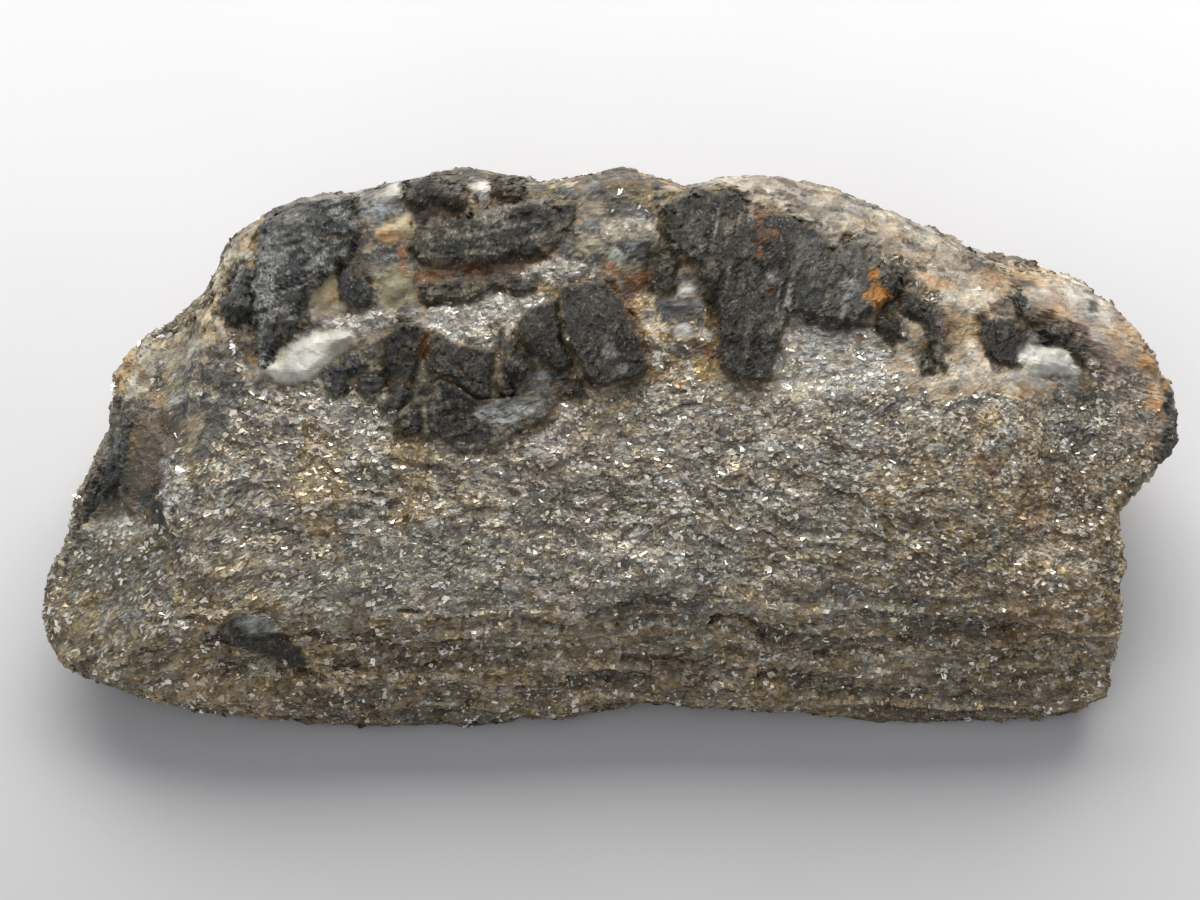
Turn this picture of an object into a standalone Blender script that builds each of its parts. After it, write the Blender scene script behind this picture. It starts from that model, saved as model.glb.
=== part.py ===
"""Mica schist hand specimen: one stone with black tourmaline and quartz grown into its upper face."""

import math

import bmesh
import bpy
import numpy as np
from mathutils import Vector, noise

MM = 0.001
LENGTH = 120.0  # along X, which the outline below spans
FACE_TILT = math.radians(30)  # the broad crystal face leans this far toward the front (-Y)
CELL = 1.15  # spacing of the body's mesh before it is thinned out
EDGE_ROUND = 0.7  # how softly two faces of the body meet
DRAFT = math.tan(math.radians(7))  # the sides draw in this much below the rim
RIM_W = 14.0  # height of the rim out of the face plane
RIM_OUT = 0.4  # what rounding takes off the rim is added first
CENTRE = Vector((0.0, -4.0, 13.0))  # inside the stone, in sight of all its surface
BODY_TRIANGLES = 6600
SHIFT = Vector((-0.26, 6.39, 0.0))  # brings the middle of the footprint to X = Y = 0
LAYER = 2.6  # usual thickness of a layer of the schist
LAYER_NORMAL = Vector((0.05, -0.15, 0.987)).normalized()

# U runs along the stone, V up the broad face, W out of it. All in millimetres.
AXIS_U = Vector((1, 0, 0))
AXIS_V = Vector((0, math.cos(FACE_TILT), math.sin(FACE_TILT)))
AXIS_W = Vector((0, -math.sin(FACE_TILT), math.cos(FACE_TILT)))

RIM = (
    (-60.0, -16.4), (-59.7, -14.1), (-56.9, -10.7), (-55.9, -5.6), (-52.5, 1.6), (-52.2, 7.4),
    (-51.2, 9.9), (-50.4, 10.6), (-47.1, 11.6), (-43.9, 14.3), (-41.4, 17.5), (-40.1, 22.0),
    (-35.7, 25.8), (-29.7, 27.2), (-26.2, 27.1), (-20.9, 28.7), (-15.4, 29.3), (-6.6, 27.2),
    (1.6, 29.0), (8.1, 27.0), (12.5, 28.2), (19.9, 28.8), (26.3, 27.1), (27.9, 26.2),
    (30.0, 25.9), (32.3, 24.5), (33.2, 23.4), (35.3, 23.0), (39.5, 21.1), (44.3, 20.6),
    (46.7, 19.2), (50.4, 18.8), (52.8, 16.5), (54.2, 16.1), (58.4, 10.3), (58.7, 8.5),
    (59.8, 7.1), (60.0, 2.2), (59.9, 0.5), (59.1, -0.7), (57.5, -1.7), (57.1, -2.8),
    (53.1, -6.4), (52.7, -8.0), (52.5, -9.5), (53.5, -12.2), (53.2, -16.4), (53.8, -19.3),
    (52.4, -24.7), (52.4, -26.8), (48.0, -28.0), (41.7, -28.6), (38.5, -28.2), (37.4, -28.8),
    (28.9, -29.1), (20.5, -27.6), (8.8, -27.3), (3.5, -26.7), (-5.0, -28.1), (-9.2, -28.3),
    (-10.3, -28.8), (-15.6, -29.1), (-32.0, -28.7), (-43.1, -27.3), (-47.4, -26.4), (-55.9, -23.2),
    (-58.0, -22.3), (-59.0, -21.2), (-59.9, -18.6),
)

# Each face of the body: a point on it and the way it looks, in X, Y, Z.
FACES = {
    "base": ((0, 0, -1.6), (0, 0, -1)),
    "front wall": ((0, -34.6, 3.2), (0.02, -0.94, 0.34)),
    "glitter face": ((0, -29.3, 17.8), (0.0, -0.42, 0.906)),
    "crystal bench": ((0, -8.9, 27.2), (0.0, -0.259, 0.966)),
    "left shoulder": ((-43.1, -19.4, 22.3), (-0.55, -0.36, 0.8)),
    "left back shoulder": ((-38.9, 0.7, 29.6), (-0.62, 0.05, 0.78)),
    "right shoulder": ((31.0, -9.8, 26.8), (0.28, -0.25, 0.93)),
    "right back shoulder": ((21.5, 6.0, 31.4), (0.27, 0.1, 0.95)),
    "back crest": ((0, 14.5, 32.2), (-0.03, 0.5, 0.86)),
    "back wall": ((0, 21.0, 14.0), (0.04, 0.98, 0.16)),
    "back left corner": ((-44.0, 10.0, 10.0), (-0.72, 0.68, 0.12)),
    "back right corner": ((46.0, 14.0, 8.0), (0.75, 0.65, 0.05)),
    "back foot": ((0, 19.5, 4.0), (0.0, 0.78, -0.62)),
    "back left chip": ((-24.0, 16.0, 27.5), (-0.25, 0.8, 0.55)),
    "back right chip": ((27.0, 17.0, 22.0), (0.35, 0.78, 0.5)),
    "left foot": ((-52.0, -15.0, 1.5), (-0.68, 0.05, -0.73)),
    "right foot": ((52.0, 0, 3.0), (0.8, 0.0, -0.6)),
}

# Crystals: outline in (U, V), how far the top stands out of the body, and its slope along U and V.
TOURMALINES = {
    "left mass": (
        ((-37.2, 19.5), (-36.5, 25.0), (-31.0, 26.3), (-27.0, 26.2), (-26.0, 20.5), (-29.6, 16.5),
         (-32.5, 12.6), (-36.4, 10.2)), 2.6, 0.10, 0.02),
    "left lobe": (
        ((-38.6, 18.4), (-36.8, 17.6), (-36.9, 13.8), (-38.3, 13.2), (-40.8, 13.9), (-40.6, 15.5)), 1.4, 0.1, 0.0),
    "top bar": (
        ((-21.4, 26.6), (-20.0, 28.0), (-14.6, 28.4), (-11.4, 27.2), (-9.4, 27.2), (-9.2, 25.8),
         (-20.8, 25.5)), 1.7, 0.0, 0.08),
    "long bar": (
        ((-20.1, 23.2), (-15.6, 24.3), (-7.0, 26.0), (-3.4, 24.4), (-4.0, 21.2), (-9.8, 19.4),
         (-19.9, 18.6)), 1.3, 0.0, -0.05),
    "small wedge": (
        ((-28.0, 18.7), (-26.8, 18.7), (-24.4, 16.6), (-24.5, 15.0), (-26.4, 14.3), (-28.0, 16.2)), 1.1, 0.0, 0.0),
    "thin bar": (
        ((-20.0, 17.2), (-13.5, 17.6), (-11.0, 18.4), (-7.5, 16.8), (-9.4, 16.0), (-13.4, 16.2),
         (-18.5, 15.0)), 1.0, 0.0, 0.05),
    "chip cluster": (
        ((-29.6, 7.0), (-28.6, 8.6), (-26.6, 9.6), (-25.4, 7.2), (-23.3, 6.6), (-24.4, 5.1),
         (-27.0, 6.2), (-28.6, 5.2)), 1.0, 0.0, 0.05),
    "fluted column": (
        ((-23.3, 9.4), (-21.4, 12.6), (-18.8, 12.4), (-19.9, 8.4), (-20.6, 5.0), (-22.0, 3.6),
         (-23.6, 4.2), (-22.8, 6.6)), 1.5, 0.0, 0.06),
    "broken block": (
        ((-18.9, 9.4), (-17.5, 11.6), (-12.0, 9.9), (-12.1, 5.0), (-14.6, 6.0), (-18.5, 7.2)), 1.5, 0.05, 0.06),
    "lower slab": (
        ((-21.6, 3.2), (-17.5, 4.8), (-12.6, 5.0), (-5.4, 4.8), (-6.4, 2.6), (-11.6, -0.4),
         (-15.4, 0.1), (-21.0, 0.9)), 1.3, 0.0, 0.18),
    "slab ear": (
        ((-11.2, 9.5), (-8.8, 9.4), (-7.6, 8.0), (-9.5, 6.7), (-10.4, 5.0), (-11.3, 5.0)), 1.2, 0.0, 0.1),
    "split crystal": (
        ((-9.3, 13.2), (-7.6, 14.5), (-5.2, 15.2), (-4.8, 11.1), (-3.6, 8.2), (-5.6, 7.8),
         (-8.7, 10.6)), 2.2, 0.0, 0.05),
    "big crystal": (
        ((-5.2, 15.4), (-4.4, 16.8), (0.0, 16.9), (1.2, 15.4), (3.2, 11.6), (4.2, 8.2), (3.6, 7.4),
         (-1.0, 6.1), (-2.6, 7.6), (-4.7, 11.4)), 3.4, 0.03, 0.05),
    "crystal foot": (
        ((-4.6, 6.9), (-2.3, 6.6), (-2.2, 5.3), (-3.9, 5.0), (-5.0, 4.6)), 1.2, 0.0, 0.1),
    "small dome": (
        ((4.9, 19.4), (7.0, 20.2), (7.4, 18.4), (7.0, 16.4), (5.2, 16.0), (4.5, 17.6)), 1.0, 0.0, 0.0),
    "great mass": (
        ((5.4, 25.2), (9.2, 26.8), (12.7, 26.9), (16.2, 25.6), (21.2, 23.6), (23.6, 20.4),
         (27.6, 21.4), (27.5, 19.3), (31.4, 18.6), (30.0, 15.0), (26.6, 13.1), (22.2, 13.7),
         (18.5, 13.9), (11.5, 15.6), (8.6, 18.0)), 2.0, 0.02, -0.04),
    "fluted leg": (
        ((11.4, 16.4), (11.7, 9.1), (12.3, 7.5), (14.2, 7.0), (16.9, 6.6), (17.4, 8.8), (18.6, 13.9),
         (18.4, 16.6)), 2.3, 0.0, -0.08),
    "right chip": (
        ((27.9, 13.0), (30.8, 13.0), (31.6, 11.2), (29.8, 10.6), (28.4, 11.8)), 1.2, 0.0, 0.0),
    "right bar": (
        ((39.0, 13.4), (43.4, 12.6), (44.0, 11.0), (43.2, 8.0), (41.2, 8.3), (39.2, 9.2)), 1.3, -0.05, 0.0),
    "right splinter": (
        ((41.4, 16.2), (43.8, 16.2), (45.2, 13.0), (44.2, 12.6), (42.8, 14.4)), 1.0, 0.0, 0.0),
    "right edge bar": (
        ((45.3, 11.8), (48.0, 13.0), (49.6, 11.4), (49.5, 10.9), (46.6, 10.9)), 1.1, 0.0, 0.0),
    "front lump": (
        ((-40.2, -19.2), (-38.4, -17.7), (-35.2, -18.7), (-33.4, -20.6), (-31.7, -22.4), (-32.4, -23.2),
         (-35.2, -22.2), (-39.0, -20.6)), 1.5, 0.0, 0.1),
}
QUARTZES = {
    "left eye": (
        ((-36.5, 7.3), (-36.4, 8.7), (-33.9, 10.2), (-30.4, 12.0), (-26.4, 12.0), (-26.0, 10.9),
         (-28.2, 9.2), (-30.2, 7.1), (-34.0, 6.6)), 1.7, 0.05, 0.05),
    "right eye": (
        ((43.5, 9.0), (44.6, 10.4), (47.8, 10.6), (48.9, 9.2), (49.8, 7.8), (46.5, 7.7), (43.9, 8.2)), 1.5, 0.0, 0.0),
    "top grain": (
        ((-14.6, 27.4), (-12.6, 27.6), (-12.4, 25.2), (-13.6, 25.0)), 1.9, 0.0, 0.0),
    "tan lens": (
        ((-24.2, 21.4), (-22.0, 23.6), (-20.4, 24.2), (-20.3, 22.4), (-21.8, 21.2)), 0.9, 0.0, 0.0),
}


def clear_scene():
    for thing in list(bpy.data.objects):
        bpy.data.objects.remove(thing, do_unlink=True)


def material(name, colour, roughness):
    made = bpy.data.materials.new(name)
    made.use_nodes = True
    shader = made.node_tree.nodes["Principled BSDF"]
    shader.inputs["Base Color"].default_value = (*colour, 1)
    shader.inputs["Roughness"].default_value = roughness
    shader.inputs["Metallic"].default_value = 0
    return made


def rim_distance(u, v):
    """Signed distance to the rim in the face plane, negative inside."""
    rim = np.array(RIM)
    nearest = np.full(u.shape, 1e9)
    inside = np.zeros(u.shape, bool)
    for (au, av), (bu, bv) in zip(rim, np.roll(rim, -1, axis=0)):
        eu, ev = bu - au, bv - av
        along = np.clip(((u - au) * eu + (v - av) * ev) / (eu * eu + ev * ev), 0, 1)
        nearest = np.minimum(nearest, np.hypot(u - au - along * eu, v - av - along * ev))
        crosses = (av > v) != (bv > v)
        if bv != av:
            inside ^= crosses & (u < au + (v - av) * eu / ev)
    return np.where(inside, -nearest, nearest)


def body_field(points):
    """Above zero outside the stone: a soft maximum of its faces and its rim."""
    u, v, w = points @ AXIS_U, points @ AXIS_V, points @ AXIS_W
    parts = [rim_distance(u, v) - RIM_OUT + DRAFT * np.clip(RIM_W - w, 0, None)]
    for point, normal in FACES.values():
        way = np.array(normal) / np.linalg.norm(normal)
        parts.append((points - np.array(point)) @ way)
    parts = np.array(parts) / EDGE_ROUND
    top = parts.max(axis=0)
    return EDGE_ROUND * (top + np.log(np.exp(parts - top).sum(axis=0)))


def reach(start, ways, longest=90.0):
    """How far from start each ray meets the body."""
    low, high = np.zeros(len(ways)), np.full(len(ways), longest)
    for _ in range(22):
        middle = (low + high) / 2
        outside = body_field(start + ways * middle[:, None]) > 0
        high = np.where(outside, middle, high)
        low = np.where(outside, low, middle)
    return low


def box_shell():
    """A box about the stone's size, evenly divided, whose points are sent out to the surface."""
    half = Vector((LENGTH / 2, 27.0, 16.0))
    shell = bmesh.new()
    bmesh.ops.create_cube(shell, size=1)
    for axis, size in enumerate(half * 2):
        for step in range(1, int(size / CELL)):
            at = Vector((0, 0, 0))
            at[axis] = -0.5 + step * CELL / size
            way = Vector((0, 0, 0))
            way[axis] = 1
            everything = shell.verts[:] + shell.edges[:] + shell.faces[:]
            bmesh.ops.bisect_plane(shell, geom=everything, plane_co=at, plane_no=way)
    bmesh.ops.scale(shell, vec=half * 2, verts=shell.verts)
    return shell


def layer_step(point):
    """Ledges of the schist: each layer stands in or out by its own amount."""
    wave = 1.1 * noise.noise(point / 17) + 0.5 * noise.noise(point / 6)
    height = (point @ LAYER_NORMAL + wave) / LAYER
    below = math.floor(height)
    blend = min(1.0, max(0.0, (height - below - 0.72) / 0.28))
    lower, upper = (
        noise.noise(Vector((layer * 7.31, point.x / 21, point.y / 21)))
        for layer in (below, below + 1)
    )
    return lower * (1 - blend) + upper * blend


def relief(point, normal, rim):
    """How far a point of the body moves along its normal. The rim keeps to its own outline."""
    steep = 1 - abs(normal @ LAYER_NORMAL) ** 3
    lumps = 1.4 * noise.noise(point / 13) + 0.8 * noise.noise(point / 5.5 + Vector((9, 3, 1)))
    lumps += 0.4 * noise.noise(point / 2.9)
    free = 0.35 + 0.65 * min(1.0, max(0.0, -rim / 3.0))
    below = min(1.0, max(0.0, (RIM_W - 4 - point @ AXIS_W) / 8))
    return max(free, below) * (0.6 * lumps + 2.1 * steep * layer_step(point)) - 0.5 * below


def make_body():
    """The schist itself: faces, rim, ledges and lumps."""
    shell = box_shell()
    shell.verts.ensure_lookup_table()
    start = np.array(CENTRE)
    ways = np.array([vert.co for vert in shell.verts])
    ways /= np.linalg.norm(ways, axis=1)[:, None]
    points = start + ways * reach(start, ways)[:, None]
    for vert, point in zip(shell.verts, points):
        vert.co = Vector(point)
    shell.normal_update()
    rims = rim_distance(points @ AXIS_U, points @ AXIS_V)
    moves = [vert.normal * relief(vert.co, vert.normal, rim) for vert, rim in zip(shell.verts, rims)]
    for vert, move in zip(shell.verts, moves):
        vert.co += move
    mesh = bpy.data.meshes.new("mica_schist")
    shell.to_mesh(mesh)
    shell.free()
    body = bpy.data.objects.new("mica_schist", mesh)
    return body


def face_height(u, v):
    """W of the body's surface under a point of the face plane."""
    foot = np.array(AXIS_U) * u + np.array(AXIS_V) * v
    start = foot + np.array(AXIS_W) * 8.0
    return 8.0 + reach(start, np.array([AXIS_W]), 40.0)[0]


def make_crystal(name, outline, proud, lean_u, lean_v):
    """A prism grown through the face, with drawn-in sides and a flat, slightly leaning top."""
    middle = np.mean(outline, axis=0)
    crystal = bmesh.new()
    inner = (np.array(outline) - middle) * 0.6
    heights = [face_height(*(middle + step)) for step in inner]
    design = np.column_stack([inner, np.ones(len(outline))])
    slope_u, slope_v, level = np.linalg.lstsq(design, np.array(heights), rcond=None)[0]
    rings = []
    for inset, rise, flare in ((0, -7.0, 0.96), (0, 0.62, 1.0), (1, 1.0, 0.86)):
        ring = []
        for u, v in outline:
            du, dv = (u - middle[0]) * flare, (v - middle[1]) * flare
            top = level + (slope_u + lean_u * inset) * du + (slope_v + lean_v * inset) * dv
            w = top + (proud * rise if rise > 0 else rise)
            at = AXIS_U * (middle[0] + du) + AXIS_V * (middle[1] + dv) + AXIS_W * w
            ring.append(crystal.verts.new(at))
        rings.append(ring)
    count = len(outline)
    for low, high in zip(rings, rings[1:]):
        for i in range(count):
            j = (i + 1) % count
            crystal.faces.new((low[i], low[j], high[j], high[i]))
    crystal.faces.new(rings[0])
    crystal.faces.new(rings[-1])
    bmesh.ops.triangulate(crystal, faces=[f for f in crystal.faces if len(f.verts) > 3])
    bmesh.ops.recalc_face_normals(crystal, faces=crystal.faces)
    mesh = bpy.data.meshes.new(name)
    crystal.to_mesh(mesh)
    crystal.free()
    return bpy.data.objects.new(name, mesh)


def make_floor_block():
    """What the flat resting face is cut with."""
    block = bmesh.new()
    bmesh.ops.create_cube(block, size=1)
    bmesh.ops.scale(block, vec=(160, 100, 20), verts=block.verts)
    bmesh.ops.translate(block, vec=(0, 0, -10), verts=block.verts)
    mesh = bpy.data.meshes.new("floor_block")
    block.to_mesh(mesh)
    block.free()
    return bpy.data.objects.new("floor_block", mesh)


def thin_out(body, triangles):
    modifier = body.modifiers.new("thin", "DECIMATE")
    modifier.ratio = triangles / (2 * len(body.data.polygons))
    modifier.use_collapse_triangulate = True


def combine(body, other, operation):
    modifier = body.modifiers.new(f"{operation.lower()} {other.name}", "BOOLEAN")
    modifier.operation = operation
    modifier.solver = "EXACT"
    modifier.object = other


def settle(body):
    """Applies the modifiers, goes to metres and puts the origin under the middle of the stone."""
    bpy.context.view_layer.update()
    graph = bpy.context.evaluated_depsgraph_get()
    finished = bpy.data.meshes.new_from_object(body.evaluated_get(graph))
    body.modifiers.clear()
    body.data = finished
    points = np.array([vert.co for vert in finished.vertices])
    low, high = points.min(axis=0), points.max(axis=0)
    print("box", low, high, "middle", (low + high) / 2)
    for vert in finished.vertices:
        vert.co = (vert.co + SHIFT) * MM
    for face in finished.polygons:
        face.use_smooth = False


def main():
    clear_scene()
    scene = bpy.context.scene
    stone = bpy.data.collections.new("Mica schist")
    helpers = bpy.data.collections.new("Cutters")
    scene.collection.children.link(stone)
    scene.collection.children.link(helpers)
    body = make_body()
    stone.objects.link(body)
    body.data.materials.append(material("schist", (0.19, 0.165, 0.13), 0.55))
    thin_out(body, BODY_TRIANGLES)
    for name, shape in {**TOURMALINES, **QUARTZES}.items():
        crystal = make_crystal(name, *shape)
        helpers.objects.link(crystal)
        combine(body, crystal, "UNION")
    block = make_floor_block()
    helpers.objects.link(block)
    combine(body, block, "DIFFERENCE")
    for helper in helpers.objects:
        helper.hide_render = True
        helper.display_type = "WIRE"
    settle(body)


main()
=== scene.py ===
"""The looks of a mica schist hand specimen: the stone, its tourmaline, quartz and mica, on a pale floor."""

import logging
import math
from dataclasses import dataclass
from enum import Enum, IntEnum
from functools import cached_property
from typing import Any

import bpy
import numpy as np
from mathutils import Matrix, Vector, noise


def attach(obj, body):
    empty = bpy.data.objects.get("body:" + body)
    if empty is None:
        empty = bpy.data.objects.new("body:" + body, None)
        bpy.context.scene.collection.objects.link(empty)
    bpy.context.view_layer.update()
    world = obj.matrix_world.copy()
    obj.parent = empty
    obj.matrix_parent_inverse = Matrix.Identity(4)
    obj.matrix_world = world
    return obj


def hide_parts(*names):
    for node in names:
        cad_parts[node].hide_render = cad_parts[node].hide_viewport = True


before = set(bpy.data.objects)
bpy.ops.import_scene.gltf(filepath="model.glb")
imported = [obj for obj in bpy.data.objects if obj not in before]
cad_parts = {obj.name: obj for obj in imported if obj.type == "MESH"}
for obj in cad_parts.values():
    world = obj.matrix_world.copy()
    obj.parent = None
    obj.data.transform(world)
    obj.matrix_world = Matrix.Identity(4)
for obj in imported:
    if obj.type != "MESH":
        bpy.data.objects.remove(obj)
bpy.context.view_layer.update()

log = logging.getLogger("mica_schist")

Array = np.ndarray
Triple = tuple[float, float, float]
Colour = Triple
Outline = tuple[tuple[float, float], ...]
Socket = Any  # a socket of a node

NODE = "mica_schist"
MM = 0.001

# Shapes are worked out in millimetres, and moved and scaled into the frame at the end.
SHIFT = np.array((-0.26, 6.39, 0.0))
FACE_TILT = math.radians(30)  # the broad crystal face leans this far toward the front
AXIS_U = np.array((1.0, 0.0, 0.0))  # along the stone
AXIS_V = np.array((0.0, math.cos(FACE_TILT), math.sin(FACE_TILT)))  # up the broad face
AXIS_W = np.array((0.0, -math.sin(FACE_TILT), math.cos(FACE_TILT)))  # out of it
BOX = np.array((120.0, 54.0, 32.0))  # the box whose even skin is sent out to the surface
CENTRE = np.array((0.0, -4.0, 13.0))  # where it is sent out from
EDGE_ROUND = 0.7
DRAFT = math.tan(math.radians(7))
RIM_W = 14.0
RIM_OUT = 0.4
LAYER = 2.6
LAYER_NORMAL = np.array((0.05, -0.15, 0.987)) / np.linalg.norm((0.05, -0.15, 0.987))


def trace(steps: str) -> Outline:
    """An outline in the plane of the broad face.

    Args:
        steps: U and V of its first corner, then the step to each next one, in tenths of a millimetre.

    Returns:
        Its corners in millimetres.
    """
    tenths = np.cumsum(np.array([int(word) for word in steps.split()]).reshape(-1, 2), axis=0)
    return tuple(map(tuple, (tenths / 10).tolist()))


RIM = trace(
    "-600 -164 3 23 28 34 10 51 34 72 3 58 10 25 8 7 33 10 32 27 25 32 13 45 44 38 60 14 35 -1 53 16 55 6 "
    "88 -21 82 18 65 -20 44 12 74 6 64 -17 16 -9 21 -3 23 -14 9 -11 21 -4 42 -19 48 -5 24 -14 37 -4 24 -23 "
    "14 -4 42 -58 3 -18 11 -14 2 -49 -1 -17 -8 -12 -16 -10 -4 -11 -40 -36 -4 -16 -2 -15 10 -27 -3 -42 6 -29 "
    "-14 -54 0 -21 -44 -12 -63 -6 -32 4 -11 -6 -85 -3 -84 15 -117 3 -53 6 -85 -14 -42 -2 -11 -5 -53 -3 -164 4 "
    "-111 14 -43 9 -85 32 -21 9 -10 11 -9 26"
)

# Each face of the stone: a point on it and the way it looks, in X, Y, Z.
FACES = {
    "base": ((0, 0, -1.6), (0, 0, -1)),
    "front wall": ((0, -34.6, 3.2), (0.02, -0.94, 0.34)),
    "glitter face": ((0, -29.3, 17.8), (0.0, -0.42, 0.906)),
    "crystal bench": ((0, -8.9, 27.2), (0.0, -0.259, 0.966)),
    "left shoulder": ((-43.1, -19.4, 22.3), (-0.55, -0.36, 0.8)),
    "left back shoulder": ((-38.9, 0.7, 29.6), (-0.62, 0.05, 0.78)),
    "right shoulder": ((31.0, -9.8, 26.8), (0.28, -0.25, 0.93)),
    "right back shoulder": ((21.5, 6.0, 31.4), (0.27, 0.1, 0.95)),
    "back crest": ((0, 14.5, 32.2), (-0.03, 0.5, 0.86)),
    "back wall": ((0, 21.0, 14.0), (0.04, 0.98, 0.16)),
    "back left corner": ((-44.0, 10.0, 10.0), (-0.72, 0.68, 0.12)),
    "back right corner": ((46.0, 14.0, 8.0), (0.75, 0.65, 0.05)),
    "back foot": ((0, 19.5, 4.0), (0.0, 0.78, -0.62)),
    "back left chip": ((-24.0, 16.0, 27.5), (-0.25, 0.8, 0.55)),
    "back right chip": ((27.0, 17.0, 22.0), (0.35, 0.78, 0.5)),
    "left foot": ((-52.0, -15.0, 1.5), (-0.68, 0.05, -0.73)),
    "right foot": ((52.0, 0, 3.0), (0.8, 0.0, -0.6)),
}


class Look(Enum):
    """How the edges and the top of a crystal look."""

    SOFT = "frayed edges and gentle sides"
    CRISP = "sharp edges and steep sides"
    LINED = "frayed, with pale lines along it"


class Traced:
    """Something drawn on the broad face, as the steps around it."""

    steps: str

    @cached_property
    def outline(self) -> Outline:
        """Its outline in the plane of the face."""
        return trace(self.steps)


@dataclass(frozen=True)
class Crystal(Traced):
    """A tourmaline that stands out of the face.

    Its top leans along U and V, its grooves run at an angle in degrees, and wear says how dusty it is.
    """

    name: str
    proud: float
    lean: tuple[float, float]
    grooves: float
    steps: str
    wear: float = 0.9
    look: Look = Look.SOFT


@dataclass(frozen=True)
class Lump(Traced):
    """A rounded grain of quartz or feldspar."""

    name: str
    proud: float
    steps: str
    colour: Colour = (0.45, 0.435, 0.40)


@dataclass(frozen=True)
class Patch(Traced):
    """An area of the face with its own tint or mix: how strong it is and how soft its edge."""

    tint: str
    amount: float
    blur: float
    steps: str


@dataclass(frozen=True)
class Tint:
    """A colour of the rock, and how much mica, coarse grain and rust go with it."""

    colour: Colour
    mica: float
    coarse: float
    rust: float = 0.0
    black: float = 0.0

    def row(self) -> Array:
        """The tint as a row of numbers, with no clear quartz in it."""
        return np.array((*self.colour, self.mica, self.coarse, self.rust, self.black, 0.0))


@dataclass(frozen=True)
class Mix:
    """Rock made of grains: their sizes along, across and through it, the way they run, and their tints."""

    size: Triple
    turn: float
    salt: int
    parts: tuple[tuple[str, float], ...]


RGB = slice(0, 3)  # where the colour of a point is in its painted row


class Amount(IntEnum):
    """Where each amount is in a painted row, after the colour."""

    MICA = 3
    COARSE = 4
    RUST = 5
    BLACK = 6
    CLEAR = 7


TINTS = {
    "glitter": Tint((0.266, 0.232, 0.177), 1.0, 0.1),
    "grey": Tint((0.351, 0.321, 0.264), 0.8, 0.2),
    "haze": Tint((0.189, 0.172, 0.153), 0.9, 0.15),
    "ochre": Tint((0.295, 0.214, 0.103), 0.7, 0.2, 0.2),
    "brown": Tint((0.176, 0.135, 0.083), 0.8, 0.2),
    "deep": Tint((0.088, 0.069, 0.047), 0.6, 0.2),
    "tan": Tint((0.400, 0.312, 0.215), 0.1, 1.0),
    "pink": Tint((0.44, 0.335, 0.262), 0.08, 1.0),
    "pale": Tint((0.40, 0.352, 0.28), 0.1, 1.0),
    "blue": Tint((0.25, 0.265, 0.27), 0.1, 0.6),
    "amber": Tint((0.40, 0.25, 0.105), 0.15, 0.8, 0.3),
    "gold": Tint((0.36, 0.25, 0.10), 0.6, 0.4, 0.2),
    "olive": Tint((0.17, 0.16, 0.095), 0.2, 0.6),
    "cream": Tint((0.50, 0.45, 0.36), 0.3, 0.9),
    "silver": Tint((0.515, 0.48, 0.42), 1.0, 0.3),
    "umber": Tint((0.125, 0.088, 0.048), 0.3, 0.6, 0.2),
    "plum": Tint((0.185, 0.148, 0.120), 0.25, 0.9),
    "smoke": Tint((0.095, 0.090, 0.078), 0.2, 0.7),
    "dark": Tint((0.040, 0.039, 0.038), 0.15, 0.3, 0.0, 0.6),
    "rust": Tint((0.165, 0.068, 0.020), 0.1, 0.4, 1.0),
    "dusty": Tint((0.16, 0.155, 0.14), 0.1, 0.5),
    "spot": Tint((0.30, 0.305, 0.29), 0.1, 0.7),
    "seam": Tint((0.36, 0.30, 0.19), 0.3, 0.5, 0.2),
    "rose": Tint((0.52, 0.46, 0.42), 1.0, 0.2),
    "peach": Tint((0.47, 0.29, 0.14), 0.05, 1.0, 0.1),
    "vein brown": Tint((0.115, 0.082, 0.062), 0.1, 0.9),
    "orange": Tint((0.46, 0.20, 0.03), 0.05, 0.7, 0.2),
    "milk": Tint((0.60, 0.555, 0.49), 0.05, 1.0),
    "white": Tint((0.70, 0.69, 0.65), 0.05, 0.8),
}

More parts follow.
